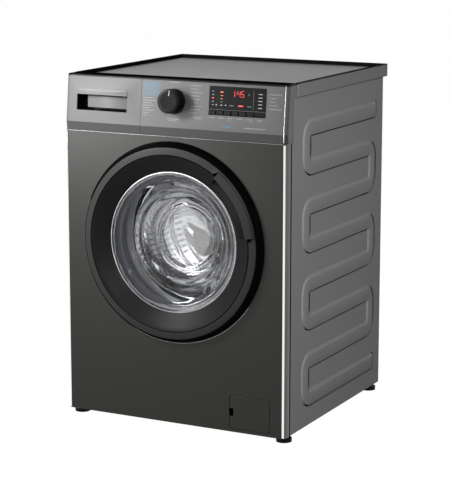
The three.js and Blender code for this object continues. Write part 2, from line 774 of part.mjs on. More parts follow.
function doorInnerRing() {
  const w = doorWall;
  const seat = glassThickness + gap;
  const lip = bezelRadius + 8;
  const body = turned([
    [faceInnerRadius, faceInnerY], [bezelRadius, 0], [bezelRadius, w], [lip, w],
    [lip, doorBackDepth], [doorBackRadius, doorBackDepth], [doorBackRadius, doorBackDepth - w],
    [lip + w + 1, doorBackDepth - w], [lip + w + 1, seat - w - 3], [faceInnerRadius, faceInnerY + w + 1],
  ]);
  const recess = ringSector(recessInnerRadius, faceInnerRadius + 1, handleStart, handleEnd,
    faceInnerY - 5, doorBackDepth - w - 1);
  const earRoom = box(-doorBackRadius - 1, hingeX + 26, doorBackDepth - w - 1, doorBackDepth + 1,
    axisZ - knuckleHalfHeight - earThickness - 8, axisZ + knuckleHalfHeight + earThickness + 8);
  return cut(body, recess, earRoom);
}

function doorGlass() {
  const t = glassThickness;
  const front = doorWall + gap;
  const lip = bezelRadius + 8 - gap;
  return turned([
    [lip, front], [bowlRimRadius + 12, front], [bowlRimRadius, front + 5],
    [bowlEndRadius + 6, bowlDepth - 20], [bowlEndRadius - 14, bowlDepth - t - 2], [0, bowlDepth - t],
    [0, bowlDepth], [bowlEndRadius - 12, bowlDepth - 2], [bowlEndRadius + 10, bowlDepth - 17],
    [bowlRimRadius + 4, front + 8], [bowlRimRadius + 13, front + t], [lip, front + t],
  ]);
}

function bowlOuterRadius(y) {
  const front = doorWall + gap;
  const share = (y - front - 8) / (bowlDepth - 17 - front - 8);
  return bowlRimRadius + 4 + share * (bowlEndRadius + 6 - bowlRimRadius);
}

function hingeArm() {
  const half = knuckleHalfHeight;
  const plan = outline([
    [hingeX, hingeY - knuckleRadius * 0.6], [hingeX + 12, hingeY + 4], [hingeX + 16, -3],
    [-bezelRadius - 12 - 2 * gap, -1], [-bezelRadius - 12 - 2 * gap, doorBackDepth - doorWall - gap],
    [hingeX + 18, doorBackDepth - doorWall - gap], [hingeX + 9, 2], [hingeX, hingeY + knuckleRadius * 0.8],
  ]);
  const web = alongZ(plan, axisZ - half, axisZ + half);
  const knuckle = rod('z', knuckleRadius, axisZ - half, axisZ + half, [hingeX, hingeY, 0]);
  const pinHole = rod('z', flat(hingePinRadius + gap, smallSegments), 0, cabinetHeight,
    [hingeX, hingeY, 0]);
  return cut(union(web, knuckle), pinHole);
}

function hingeBracket() {
  const floorY = dishDepth - gap;
  const near = knuckleHalfHeight + gap;
  const far = near + earThickness;
  const plan = outline([
    [hingeX - 3, hingeY - 4.5], [hingeX + 5, hingeY - 3.5], [hingeX + 17, hingeY + 6],
    [hingeX + 17, floorY], [hingeX + 11, floorY], [hingeX + 11, hingeY + 14],
    [hingeX + 8, hingeY + 9.6], [hingeX, hingeY + 5],
  ]);
  const ear = (from, to) => union(alongZ(plan, from, to),
    rod('z', knuckleRadius - 0.5, from, to, [hingeX, hingeY, 0]));
  return union(
    ear(axisZ + near, axisZ + far),
    ear(axisZ - far, axisZ - near),
    box(hingeX + 11, hingeX + 24, floorY - 3, floorY, axisZ - far, axisZ + far),
    rod('z', hingePinRadius, axisZ - far, axisZ + far, [hingeX, hingeY, 0]));
}

function doorHandle() {
  const w = doorWall + 1;
  const lever = turned([
    [handleInnerRadius, faceInnerY - 1], [faceInnerRadius, faceInnerY],
    [handleOuterRadius, faceInnerY + (handleOuterRadius - faceInnerRadius)
      * (faceOuterY - faceInnerY) / (faceOuterRadius - faceInnerRadius)],
    [handleOuterRadius, faceOuterY + 2], [handleInnerRadius + w, faceInnerY + w],
    [handleInnerRadius + w, faceInnerY + 10], [handleInnerRadius, faceInnerY + 10],
  ]);
  return lever.intersect(ringSector(handleInnerRadius - 5, handleOuterRadius + 5,
    handleStart + 0.1, handleEnd - 0.1, faceInnerY - 8, 0));
}

function latchHook() {
  const from = doorBackDepth + gap;
  const halfThick = hookThickness / 2;
  const end = from + hookReach;
  const shape = outline([
    [hookX - 1, from], [hookX + 1, from], [hookX + halfThick, from + 2],
    [hookX + halfThick, end - 9], [hookX + halfThick + 5, end - 9], [hookX + halfThick, end],
    [hookX - halfThick, end], [hookX - halfThick, from + 2],
  ]);
  return alongZ(shape, axisZ - hookHeight / 2, axisZ + hookHeight / 2);
}

function doorLock() {
  const front = dishDepth + sheet + gap;
  const back = doorBackDepth + hookReach + 12;
  const slot = box(hookX - hookRoom, hookX + hookRoom, front - 1, back - 4,
    axisZ - hookHeight, axisZ + hookHeight);
  const half = hookRoom + 2.2;
  return cut(box(hookX - half, hookX + half + 8, front, back, axisZ - 36, axisZ + 36), slot);
}

function doorGasket() {
  const lipY = dishDepth - 5;
  const t = 3.5;
  const outer = mouthRadius - gap - 0.6;
  const fold = mouthRadius + 7;
  const lip = bowlOuterRadius(lipY - 1) + 1.2;
  const end = tubMouthRadius - gap - 0.6;
  const rear = tubFrontY - 2;
  const foldStart = dishDepth + sheet + 8;
  return turned([
    [lip, lipY], [outer, lipY], [outer, foldStart], [fold, foldStart + 4], [fold, rear - 18],
    [end, rear - 10], [end, rear], [end - t, rear], [end - t, rear - 13], [fold - t, rear - 21],
    [fold - t, foldStart + 7], [outer - t, foldStart + 3], [outer - t, lipY + t], [lip, lipY + t],
  ], 28);
}

// ---------------------------------------------------------------- tub

const atTubTop = (x) => axisZ + fromAxis(tubRadius, x);
const tubInletTop = () => {
  const [x, , spoutZ] = dispenserSpout();
  const shell = atTubTop(x + hoseRadius);
  return shell + (spoutZ - shell) * inletShare;
};
const sumpPlace = () => [sumpX, tubJointY - 60, axisZ - fromAxis(tubRadius, sumpX) - sumpNeck];

function tubFront() {
  const w = tubWall;
  const front = tubFrontY;
  const shell = turned([
    [tubMouthRadius, front - collarLength], [tubMouthRadius + w, front - collarLength],
    [tubMouthRadius + w, front], [tubRadius - 8, front], [tubRadius, front + 10],
    [tubRadius, tubJointY - gap / 2], [tubRadius - w, tubJointY - gap / 2],
    [tubRadius - w, front + 12], [tubRadius - 10, front + w], [tubMouthRadius, front + w],
  ]);
  const inner = turned([[0, front + w + 2], [tubRadius - w - 2, front + w + 12],
    [tubRadius - w - 2, tubJointY + 60], [0, tubJointY + 60]]);
  const [inletX, inletY] = dispenserSpout();
  const [, sumpY, sumpZ] = sumpPlace();
  const inlet = cut(rod('z', hoseRadius, axisZ, tubInletTop(), [inletX, inletY, 0]), inner);
  const sump = cut(rod('z', hoseRadius, sumpZ, axisZ, [sumpX, sumpY, 0]), inner);
  return cut(union(shell, inlet, sump),
    rod('z', hoseRadius - hoseWall, axisZ, cabinetHeight, [inletX, inletY, 0]),
    rod('z', hoseRadius - hoseWall, 0, axisZ, [sumpX, sumpY, 0]));
}

const springEarZ = () => axisZ + fromAxis(tubRadius, springX) + 26;
const damperEarZ = () => axisZ - fromAxis(tubRadius, damperX) - 18;
const heaterRadius = drumRadius + (tubRadius - tubWall - drumRadius) / 2;
const heaterZ = axisZ - heaterRadius + 1;

function tubRear() {
  const w = tubWall;
  let body = turned([
    [tubRadius - w, tubJointY + gap / 2], [tubRadius, tubJointY + gap / 2], [tubRadius, tubRearY],
    [hubRadius, tubRearY], [hubRadius, tubRearY + hubLength],
    [flat(bearingRadius + gap, roundSegments), tubRearY + hubLength],
    [flat(bearingRadius + gap, roundSegments), tubRearY - w], [tubRadius - w, tubRearY - w],
  ]);
  const inside = rod('y', tubRadius - w / 2, tubJointY - 20, tubRearY - w, [0, 0, axisZ], roundSegments);
  for (const side of [-1, 1]) {
    const spring = side * springX;
    const damper = side * damperX;
    const ears = union(
      box(spring - 12, spring + 12, springY - 12, springY + 12, axisZ, springEarZ()),
      box(damper - 12, damper + 12, damperY - 12, damperY + 12, damperEarZ(), axisZ));
    body = union(body, cut(ears, inside));
  }
  return cut(body, box(-33, 33, tubRearY - w - 1, tubRearY + 1, heaterZ - 6, heaterZ + 6));
}

function bearingCartridge() {
  return turned([
    [flat(shaftRadius + gap, roundSegments), tubRearY - tubWall], [bearingRadius, tubRearY - tubWall],
    [bearingRadius, tubRearY + hubLength], [flat(shaftRadius + gap, roundSegments), tubRearY + hubLength],
  ]);
}

function counterweight() {
  const seat = rod('y', tubRadius + gap, 0, cabinetDepth, [0, 0, axisZ], roundSegments);
  const left = drawerFrontRight + housingWall + 16;
  return cut(box(left, 200, 96, 232, axisZ + 180, sideTopZ - tubTravel - 26), seat);
}

function motor() {
  const back = tubRearY + 6;
  const front = back - motorLength;
  const seat = rod('y', tubRadius + gap, 0, cabinetDepth, [0, 0, axisZ], roundSegments);
  const lug = (y) => box(-32, 32, y, y + 18, motorZ, axisZ - tubRadius + 14);
  const shape = rod('y', motorRadius, front, back, [0, 0, motorZ], 24);
  const body = union(shape, cut(union(lug(front + 14), lug(back - 40)), seat));
  return cut(body, rod('y', flat(motorShaftRadius + gap, smallSegments), back - 40, back + 1,
    [0, 0, motorZ]));
}

function heater() {
  const x = 25;
  const wire = 3.5;
  const back = tubRearY + gap;
  const front = tubJointY - 60;
  const run = (side) => rod('y', wire, front, back + 4, [side * x, 0, heaterZ], 8);
  return union(run(-1), run(1), rod('x', wire, -x, x, [0, front + wire, heaterZ], 8),
    box(-36, 36, back, back + 6, heaterZ - 12, heaterZ + 12),
    rod('x', wire + 1, -x - 2, x + 2, [0, back + 6, heaterZ], 8));
}

function damperRod(side) {
  const top = damperEarZ() - gap;
  return rod('z', damperRodRadius, damperTubeBottom() + 22, top, [side * damperX, damperY, 0]);
}

const damperTubeBottom = () => footHeight + trayPan + 6 + gap;
const damperTubeTop = () => damperEarZ() - damperStroke;

function damperTube(side) {
  const bottom = damperTubeBottom();
  const at = [side * damperX, damperY, 0];
  const bore = flat(damperRodRadius + gap, smallSegments);
  return cut(rod('z', damperTubeRadius, bottom, damperTubeTop(), at),
    rod('z', bore, bottom + 5, damperTubeTop() + 1, at));
}

function suspensionSpring(side) {
  const bottom = springEarZ() + gap;
  const top = springTopZ - gap;
  const tail = 14;
  const [coilFrom, coilTo] = [bottom + tail, top - tail];
  const points = [new THREE.Vector3(0, 0, bottom), new THREE.Vector3(0, 0, bottom + tail * 0.6)];
  const steps = springTurns * 8;
  for (let i = 0; i <= steps; i += 1) {
    const angle = 2 * Math.PI * i * springTurns / steps;
    points.push(new THREE.Vector3(springRadius * Math.cos(angle), springRadius * Math.sin(angle),
      coilFrom + (coilTo - coilFrom) * i / steps));
  }
  points.push(new THREE.Vector3(0, 0, top - tail * 0.6), new THREE.Vector3(0, 0, top));
  const place = new THREE.Vector3(side * springX, springY, 0);
  const path = new THREE.CatmullRomCurve3(points.map((point) => point.add(place)), false, 'centripetal');
  return piped(path, springWire / 2, steps + 8, 4);
}

// ---------------------------------------------------------------- drum and drive

function drumShell() {
  const w = drumWall;
  const boss = 46;
  return turned([
    [drumMouthRadius, drumFrontY], [drumRadius - 4, drumFrontY], [drumRadius, drumFrontY + 4],
    [drumRadius, drumRearY], [boss, drumRearY], [boss, drumRearY - w], [drumRadius - w, drumRearY - w],
    [drumRadius - w, drumFrontY + 4 + w], [drumRadius - 4 - w, drumFrontY + w],
    [drumMouthRadius, drumFrontY + w],
  ]);
}

function drumSpider() {
  const from = drumRearY + gap;
  const back = pulleyY + pulleyWidth + 6;
  const reach = drumRadius - 8;
  const arm = box(-spiderArmWidth / 2, spiderArmWidth / 2, from, from + spiderThickness, 0, reach);
  const arms = [0, 1, 2].map((i) => moved(arm, new THREE.Matrix4().makeRotationY(i * 2 * Math.PI / 3)
    .setPosition(0, 0, axisZ)));
  return union(...arms,
    rod('y', 45, drumRearY - drumWall, from + spiderThickness, [0, 0, axisZ], 24),
    rod('y', shaftRadius, from, back, [0, 0, axisZ], roundSegments));
}

function drumPulley() {
  const [front, back] = [pulleyY, pulleyY + pulleyWidth];
  const bore = flat(shaftRadius + gap / 2, roundSegments);
  const middle = (front + back) / 2;
  const disc = turned([
    [bore, front], [28, front], [28, middle - 2], [pulleyRadius - 6, middle - 2],
    [pulleyRadius - 6, front], [pulleyRadius, front], [pulleyRadius, back],
    [pulleyRadius - 6, back], [pulleyRadius - 6, middle + 2], [28, middle + 2], [28, back], [bore, back],
  ]);
  const holes = [0, 1, 2, 3, 4].map((i) => {
    const angle = 2 * Math.PI * i / 5;
    return rod('y', 34, front - 1, back + 1,
      [84 * Math.sin(angle), 0, axisZ + 84 * Math.cos(angle)], 8);
  });
  return cut(disc, ...holes);
}

function motorPulley() {
  const back = tubRearY + 6;
  const end = pulleyY + pulleyWidth + 4;
  const [from, to] = [(pulleyY + pulleyY + pulleyWidth - beltWidth) / 2 - 3,
    (pulleyY + pulleyY + pulleyWidth + beltWidth) / 2 + 3];
  return union(
    rod('y', motorShaftRadius, back - 38, end, [0, 0, motorZ]),
    rod('y', motorPulleyRadius, from, to, [0, 0, motorZ], 24));
}

// the loop round both pulleys: straight runs between the two tangent arcs
function beltLoop(extra) {
  const slack = 0.5;
  const large = flat(pulleyRadius + slack, roundSegments) + extra;
  const small = flat(motorPulleyRadius + slack, smallSegments) + extra;
  const tilt = Math.asin((large - small) / (axisZ - motorZ));
  const shape = new THREE.Shape();
  const arc = (z, radius, from, to, steps) => Array.from({ length: steps + 1 }, (_, i) => {
    const angle = from + (to - from) * i / steps;
    return [radius * Math.cos(angle), z + radius * Math.sin(angle)];
  });
  const points = [...arc(axisZ, large, -tilt, Math.PI + tilt, 24),
    ...arc(motorZ, small, Math.PI + tilt, 2 * Math.PI - tilt, 8)];
  points.forEach(([x, z], i) => (i ? shape.lineTo(x, z) : shape.moveTo(x, z)));
  return shape;
}

function driveBelt() {
  const middle = pulleyY + pulleyWidth / 2;
  const [from, to] = [middle - beltWidth / 2, middle + beltWidth / 2];
  return cut(alongY(beltLoop(beltThickness), from, to), alongY(beltLoop(0), from - 1, to + 1));
}

function paddle(i) {
  const base = Math.sqrt((drumRadius - drumWall - 1.4) ** 2 - (paddleFoot / 2) ** 2);
  const shape = outline([
    [-paddleFoot / 2, base], [-paddleTop / 2, base - paddleHeight], [paddleTop / 2, base - paddleHeight],
    [paddleFoot / 2, base],
  ]);
  const middle = (drumFrontY + drumRearY) / 2;
  const bar = alongY(shape, middle - paddleLength / 2, middle + paddleLength / 2);
  const angle = (i + 0.5) * 2 * Math.PI / 3;
  return moved(bar, new THREE.Matrix4().makeRotationY(angle).setPosition(0, 0, axisZ));
}

// ---------------------------------------------------------------- pump and fittings

const pumpBottomZ = footHeight + trayPan + gap;

function drainPump() {
  const outer = filterRadius + pumpWall;
  const front = 11;
  const back = front + pumpLength;
  const body = union(
    rod('y', outer, front, back, [pumpX, 0, pumpZ], 24),
    box(pumpX - 24, pumpX + 24, front + 8, back - 8, pumpBottomZ, pumpZ),
    rod('y', outer - 8, back - 1, back + 42, [pumpX, 0, pumpZ], 20),
    rod('x', hoseRadius, pumpX - outer - 22, pumpX, [0, pumpInletY, pumpInletZ]));
  return cut(body,
    rod('y', flat(filterRadius + gap, 24), front - 1, back - 12, [pumpX, 0, pumpZ], 24),
    rod('x', hoseRadius - hoseWall, pumpX - outer - 23, pumpX - filterRadius / 2,
      [0, pumpInletY, pumpInletZ]));
}
const pumpInletY = 84;
const pumpInletZ = pumpZ + 6;

function pumpFilter() {
  const front = 12;
  return union(
    rod('y', filterRadius, front, front + 10, [pumpX, 0, pumpZ], 24),
    rod('y', filterRadius - 12, front + 9, front + filterLength, [pumpX, 0, pumpZ]),
    box(pumpX - 4, pumpX + 4, front - 7, front + 1, pumpZ - filterRadius + 4, pumpZ + filterRadius - 4));
}

function sumpHose() {
  const [x, y, top] = sumpPlace();
  const endX = pumpX - filterRadius - pumpWall - 22 - gap;
  const path = new THREE.CatmullRomCurve3([
    new THREE.Vector3(x, y, top - gap), new THREE.Vector3(x, y, top - 22),
    new THREE.Vector3(x + 14, y - 40, pumpInletZ + 22),
    new THREE.Vector3(endX - 44, pumpInletY + 24, pumpInletZ + 3),
    new THREE.Vector3(endX - 14, pumpInletY, pumpInletZ), new THREE.Vector3(endX, pumpInletY, pumpInletZ),
  ], false, 'centripetal');
  return piped(path, hoseRadius - 1, 10, 8, hoseRadius - hoseWall - 1);
}

function pumpFlap() {
  const shape = roundedOutline(flapLeft, flapRight, flapBottom, flapTop, flapCorner);
  const notch = box(flapLeft - 1, flapLeft + 10, -1, flapThickness + 1, 53, 73);
  return cut(alongY(shape, 0, flapThickness), notch);
}

function inletValve() {
  const inside = cabinetDepth - 2 * sheet - 2 * gap;
  const bore = valveRadius - 4;
  return cut(union(
    box(valveX - 24, valveX + 24, inside - 46, inside, valveZ - 22, valveZ + 22),
    rod('y', valveRadius, inside - 1, cabinetDepth + fittingReach, [valveX, 0, valveZ])),
  rod('y', bore, inside - 20, cabinetDepth + fittingReach + 1, [valveX, 0, valveZ]));
}

function cableGland() {
  const back = cabinetDepth - sheet - gap;
  return cut(union(
    rod('y', glandNeck, back - sheet - 8, back + 5, [glandX, 0, glandZ]),
    rod('y', glandNeck + 5, back + gap, back + 6, [glandX, 0, glandZ])),
  rod('y', 4, back - 30, back + 30, [glandX, 0, glandZ], 12));
}

// ---------------------------------------------------------------- the machine

const machine = new THREE.Group();
const frontmost = faceY(knobZ) - knobLength * Math.cos(slantAngle)
  - knobRadius * Math.sin(slantAngle);
machine.position.y = -(frontmost + worktopRearY) / 2;

function add(name, body, material) {
  const mesh = body.getMesh();
  const geometry = new THREE.BufferGeometry();
  geometry.setAttribute('position', new THREE.BufferAttribute(mesh.vertProperties, 3));
  geometry.setIndex(Array.from(mesh.triVerts));
  geometry.computeVertexNormals();
  const part = new THREE.Mesh(geometry, material);
  part.name = name;
  machine.add(part);
}

add('cabinet_left_side', cabinetSide(-1), greySteel);
add('cabinet_right_side', cabinetSide(1), greySteel);
add('rear_panel', rearPanel(), zincSteel);
add('base_tray', baseTray(), darkPlastic);
add('front_panel', frontPanel(), greySteel);
add('control_fascia', controlFascia(), fasciaPlastic);
add('worktop_frame', worktopFrame(), darkPlastic);
add('worktop_board', worktopBoard(), boardFinish);
add('display_window', displayWindow(), blackPlastic);
add('control_board', controlBoard(), whitePlastic);
add('dispenser_housing', dispenserHousing(), whitePlastic);
add('dispenser_hose', dispenserHose(), blackRubber);
add('inlet_valve', inletValve(), whitePlastic);
add('door_lock', doorLock(), whitePlastic);
add('door_gasket', doorGasket(), rubber);
add('drain_pump', drainPump(), whitePlastic);
add('sump_hose', sumpHose(), blackRubber);
add('hinge_bracket', hingeBracket(), zincSteel);
add('cable_gland', cableGland(), blackPlastic);
for (const [name, place] of Object.entries(feetPlaces())) add(name, foot(place), blackPlastic);
add('drawer_front', drawerFront(), fasciaPlastic);
add('drawer_tray', drawerTray(), palePlastic);
add('door_outer_ring', doorOuterRing(), darkPlastic);
add('door_inner_ring', doorInnerRing(), blackPlastic);
add('door_glass', doorGlass(), glass);
add('hinge_arm', hingeArm(), zincSteel);
add('door_handle', doorHandle(), darkPlastic);
add('latch_hook', latchHook(), zincSteel);
add('program_knob', programKnob(), darkPlastic);
buttonPlaces().forEach((place, i) => add(`button_${i + 1}`, button(place), blackPlastic));
add('pump_flap', pumpFlap(), greySteel);
add('pump_filter', pumpFilter(), palePlastic);
add('tub_front', tubFront(), whitePlastic);
add('tub_rear', tubRear(), whitePlastic);
add('counterweight', counterweight(), concrete);
add('motor', motor(), castAluminium);
add('heater', heater(), stainless);
add('bearing_cartridge', bearingCartridge(), zincSteel);
add('drive_belt', driveBelt(), blackRubber);
add('drum_shell', drumShell(), stainless);
add('drum_spider', drumSpider(), castAluminium);
add('drum_pulley', drumPulley(), castAluminium);
add('motor_pulley', motorPulley(), zincSteel);
for (const i of [0, 1, 2]) add(`drum_paddle_${i + 1}`, paddle(i), palePlastic);
for (const [name, side] of [['left', -1], ['right', 1]]) {
  add(`suspension_spring_${name}`, suspensionSpring(side), zincSteel);
  add(`damper_tube_${name}`, damperTube(side), darkPlastic);
  add(`damper_rod_${name}`, damperRod(side), zincSteel);
}

export default machine;
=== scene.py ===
import math

import bmesh
import bpy
import numpy as np
from mathutils import Matrix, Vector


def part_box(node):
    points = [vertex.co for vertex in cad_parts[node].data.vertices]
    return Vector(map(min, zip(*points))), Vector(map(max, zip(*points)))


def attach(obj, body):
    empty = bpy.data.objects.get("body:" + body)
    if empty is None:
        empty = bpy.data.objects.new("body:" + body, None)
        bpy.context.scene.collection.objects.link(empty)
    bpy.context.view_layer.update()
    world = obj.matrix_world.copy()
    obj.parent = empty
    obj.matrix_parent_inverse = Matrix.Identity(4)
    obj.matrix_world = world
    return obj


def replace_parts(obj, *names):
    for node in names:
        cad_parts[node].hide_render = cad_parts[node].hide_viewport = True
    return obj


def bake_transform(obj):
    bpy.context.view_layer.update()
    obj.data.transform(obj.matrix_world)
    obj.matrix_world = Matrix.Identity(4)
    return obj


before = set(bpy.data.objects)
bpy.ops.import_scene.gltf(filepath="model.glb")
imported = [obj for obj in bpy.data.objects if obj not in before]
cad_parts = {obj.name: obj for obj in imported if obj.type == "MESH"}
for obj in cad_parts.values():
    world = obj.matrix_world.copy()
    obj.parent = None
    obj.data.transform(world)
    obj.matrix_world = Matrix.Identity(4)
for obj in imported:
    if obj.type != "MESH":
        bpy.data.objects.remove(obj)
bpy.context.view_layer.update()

# ---------------------------------------------------------------- camera
# A long lens on a low stand at the right front corner, far enough away that the
# uprights stay nearly parallel.


def add_object(name, data):
    """A camera, lamp or mesh as an object at the origin."""
    made = bpy.data.objects.new(name, data)
    bpy.context.scene.collection.objects.link(made)
    return made


camera = add_object("camera", bpy.data.cameras.new("camera"))
camera.data.lens = 135.19
camera.data.sensor_width = 36.0
camera.data.shift_x = 0.0043
camera.data.shift_y = -0.0441
camera.location = (2.0496, -3.9656, 1.2915)
camera.rotation_euler = (math.radians(79.594), 0.0, math.radians(27.475))
bpy.context.scene.camera = camera
bpy.context.scene.view_settings.view_transform = "Standard"

# ---------------------------------------------------------------- studio
# A white floor that runs into a white room, and seven soft lamps: three at the left of the
# front, one from the front right, one overhead, one beside the machine and one behind it.


def filled(tree, node, inputs):
    """Gives each named or numbered input of a node a value, or links an output to it."""
    for socket, value in inputs.items():
        if isinstance(value, bpy.types.NodeSocket):
            tree.links.new(value, node.inputs[socket])
        else:
            node.inputs[socket].default_value = value
    return node


def added(tree, kind, inputs=None, **settings):
    """A new shader node of a kind, with its settings and its inputs."""
    node = tree.nodes.new("ShaderNode" + kind)
    for setting, value in settings.items():
        setattr(node, setting, value)
    return filled(tree, node, inputs or {})


def reckoned(tree, operation, *values, clamped=False):
    """One step of arithmetic in a node tree; each value is an output or a number."""
    return added(tree, "Math", dict(enumerate(values)), operation=operation, use_clamp=clamped).outputs[0]


def bare_material(name):
    """A new material with its node tree and its Principled shader."""
    made = bpy.data.materials.new(name)
    made.use_nodes = True
    return made, made.node_tree, made.node_tree.nodes["Principled BSDF"]


def seen_by_eye(tree):
    """1 for camera, glossy and transmission rays, 0 for the rest."""
    path = added(tree, "LightPath").outputs
    seen = reckoned(tree, "ADD", path["Is Camera Ray"], path["Is Glossy Ray"])
    return reckoned(tree, "ADD", seen, path["Is Transmission Ray"], clamped=True)


room_fill, floor_albedo, floor_brightness = 0.065, 0.10, 0.985
room = bpy.data.worlds.new("white_room")
room.use_nodes = True
bpy.context.scene.world = room
room_tree = room.node_tree
room_level = added(room_tree, "Mix", {0: seen_by_eye(room_tree), 2: room_fill, 3: 1.0}, data_type="FLOAT")
filled(room_tree, room_tree.nodes["Background"], {"Color": (1, 1, 1, 1), "Strength": room_level.outputs[0]})

floor_mesh = bpy.data.meshes.new("studio_floor")
floor_mesh.from_pydata([(-30, -30, 0), (30, -30, 0), (30, 30, 0), (-30, 30, 0)], [], [(0, 1, 2, 3)])
floor = add_object("studio_floor", floor_mesh)
floor_paint, floor_tree, floor_shader = bare_material("studio_floor")
filled(floor_tree, floor_shader, {
    "Base Color": (floor_albedo, floor_albedo, floor_albedo, 1), "Roughness": 1.0, "Specular IOR Level": 0.0,
    "Emission Color": (1, 1, 1, 1),
    "Emission Strength": reckoned(floor_tree, "MULTIPLY", seen_by_eye(floor_tree), floor_brightness)})
floor_mesh.materials.append(floor_paint)


def area_lamp(name, place, target, size, power, spread=180.0):
    """A lamp (width, height) of the given power and beam angle, turned to face the target."""
    lamp = add_object(name, bpy.data.lights.new(name, "AREA"))
    lamp.data.shape = "RECTANGLE"
    lamp.data.size, lamp.data.size_y = size
    lamp.data.energy = power
    lamp.data.spread = math.radians(spread)
    lamp.location = place
    aim = np.array(target) - np.array(place)
    lamp.rotation_euler = (math.acos(-aim[2] / np.linalg.norm(aim)), 0.0,
                           math.atan2(aim[1], aim[0]) - math.pi / 2)


area_lamp("key_lamp", (-0.80, -1.05, 1.22), (-0.25, -0.28, 0.78), (0.4, 0.4), 13, 110)
area_lamp("glow_lamp", (-1.30, -1.96, 0.66), (-0.25, -0.28, 0.70), (0.5, 0.5), 22)
area_lamp("glass_lamp", (-0.96, -1.97, 0.10), (0.0, -0.2, 0.46), (0.24, 0.50), 3)
area_lamp("front_right_lamp", (1.26, -2.75, 1.79), (0.3, 0.0, 0.45), (0.3, 0.3), 58)
area_lamp("top_lamp", (0.0, 0.6, 2.7), (0.0, 0.0, 0.85), (1.6, 1.6), 5)
area_lamp("side_lamp", (2.3, -0.5, 1.25), (0.3, 0.0, 0.45), (0.6, 0.6), 4, 120)
area_lamp("rear_lamp", (-1.8, 2.9, 0.55), (0.0, 0.2, 0.45), (0.8, 0.8), 40)

# ---------------------------------------------------------------- cabinet sides
# Each side is one pressed sheet of painted steel: a flat serpentine rib is pressed out to
# stiffen it, and its front and back edges are folded in. Painted shadow: a near black strip lies
# at the foot of the rib's rear and lower slopes, and the front fold, which lies in the seam to the
# front panel, is painted near black as shade.


def surface_grain():
    """A node group of fine grain and slow clouding: colour and roughness vary by a share, and
    the normal follows the grain's height."""
    group = bpy.data.node_groups.new("surface_grain", "ShaderNodeTree")
    for kind, label, value in (("NodeSocketColor", "Colour", (0.5, 0.5, 0.5, 1)),
                               ("NodeSocketFloat", "Variation", 0.05), ("NodeSocketFloat", "Roughness", 0.5),
                               ("NodeSocketFloat", "Scale", 800.0), ("NodeSocketFloat", "Relief", 0.1)):
        group.interface.new_socket(label, in_out="INPUT", socket_type=kind).default_value = value
    for kind, label in (("NodeSocketColor", "Colour"), ("NodeSocketFloat", "Roughness"),
                        ("NodeSocketVector", "Normal")):
        group.interface.new_socket(label, in_out="OUTPUT", socket_type=kind)
    given, result = group.nodes.new("NodeGroupInput").outputs, group.nodes.new("NodeGroupOutput")
    place = added(group, "TexCoord").outputs["Object"]
    grain = added(group, "TexNoise", {"Vector": place, "Scale": given["Scale"], "Detail": 3.0}).outputs["Fac"]
    cloud = added(group, "TexNoise", {"Vector": place, "Scale": 7.0, "Detail": 2.0}).outputs["Fac"]
    level = reckoned(group, "SUBTRACT", reckoned(group, "ADD", grain, cloud), 1.0)
    swing = reckoned(group, "MULTIPLY", level, given["Variation"])
    factor = reckoned(group, "MULTIPLY_ADD", swing, 2.0, 1.0)
    tint = added(group, "VectorMath", {0: given["Colour"], "Scale": factor}, operation="SCALE")
    bump = added(group, "Bump", {"Distance": 0.0002, "Strength": given["Relief"], "Height": grain})
    filled(group, result, {"Colour": tint.outputs[0], "Normal": bump.outputs[0],
                           "Roughness": reckoned(group, "ADD", given["Roughness"], swing)})
    return group


grain_group = surface_grain()


def linear(level):
    """A screen level from 0 to 255, or three of them, as linear colour."""
    value = np.atleast_1d(np.array(level, float)) / 255
    value = np.where(value <= 0.04045, value / 12.92, ((value + 0.055) / 1.055) ** 2.4)
    return tuple(np.broadcast_to(value, 3)) + (1.0,)


def finish(name, level, roughness, variation=0.05, scale=800.0, relief=0.1, specular=0.5, metallic=0.0):
    """A Principled material of one finish, with surface grain over it."""
    made, tree, shader = bare_material(name)
    grain = added(tree, "Group", {"Colour": linear(level), "Variation": variation, "Roughness": roughness,
                                  "Scale": scale, "Relief": relief}, node_tree=grain_group).outputs
    filled(tree, shader, {"Base Color": grain["Colour"], "Roughness": grain["Roughness"],
                          "Normal": grain["Normal"], "Specular IOR Level": specular, "Metallic": metallic})
    return made


def dress(material, *nodes):
    """Gives CAD nodes a material."""
    for node in nodes:
        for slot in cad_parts[node].material_slots:
            slot.material = material


def sheet_of(name, points, material, closed=(False, False), keep=None, smooth=35.0):
    """A mesh on a grid of points (rows, columns, 3), each cell one face; closed wraps the rows
    or the columns, keep drops cells, and edges sharper than smooth degrees stay sharp."""
    rows, columns = points.shape[:2]
    index = np.arange(rows * columns).reshape(rows, columns)
    if closed[0]:
        index = np.vstack([index, index[:1]])
    if closed[1]:
        index = np.hstack([index, index[:, :1]])
    cells = np.stack([index[:-1, :-1], index[1:, :-1], index[1:, 1:], index[:-1, 1:]], axis=-1)
    return piece_of(name, points, cells.reshape(-1, 4) if keep is None else cells[keep], material, smooth)


def piece_of(name, points, faces, material, smooth=35.0):
    """A piece made of points and of faces that number their corners."""
    mesh = bpy.data.meshes.new(name)
    mesh.from_pydata(np.reshape(points, (-1, 3)).tolist(), [], np.asarray(faces).tolist())
    return mesh_piece(name, mesh, material, smooth)


def mesh_piece(name, mesh, material, smooth=35.0):
    """Smooth shading with corners and open edges kept sharp, one material, and an object."""
    mesh.polygons.foreach_set("use_smooth", np.ones(len(mesh.polygons), bool))
    mesh.set_sharp_from_angle(angle=math.radians(smooth))
    corners = np.empty(len(mesh.loops), int)
    mesh.loops.foreach_get("edge_index", corners)
    for edge in np.flatnonzero(np.bincount(corners, minlength=len(mesh.edges)) == 1):
        mesh.edges[edge].use_edge_sharp = True
    mesh.materials.append(material)
    return add_object(name, mesh)


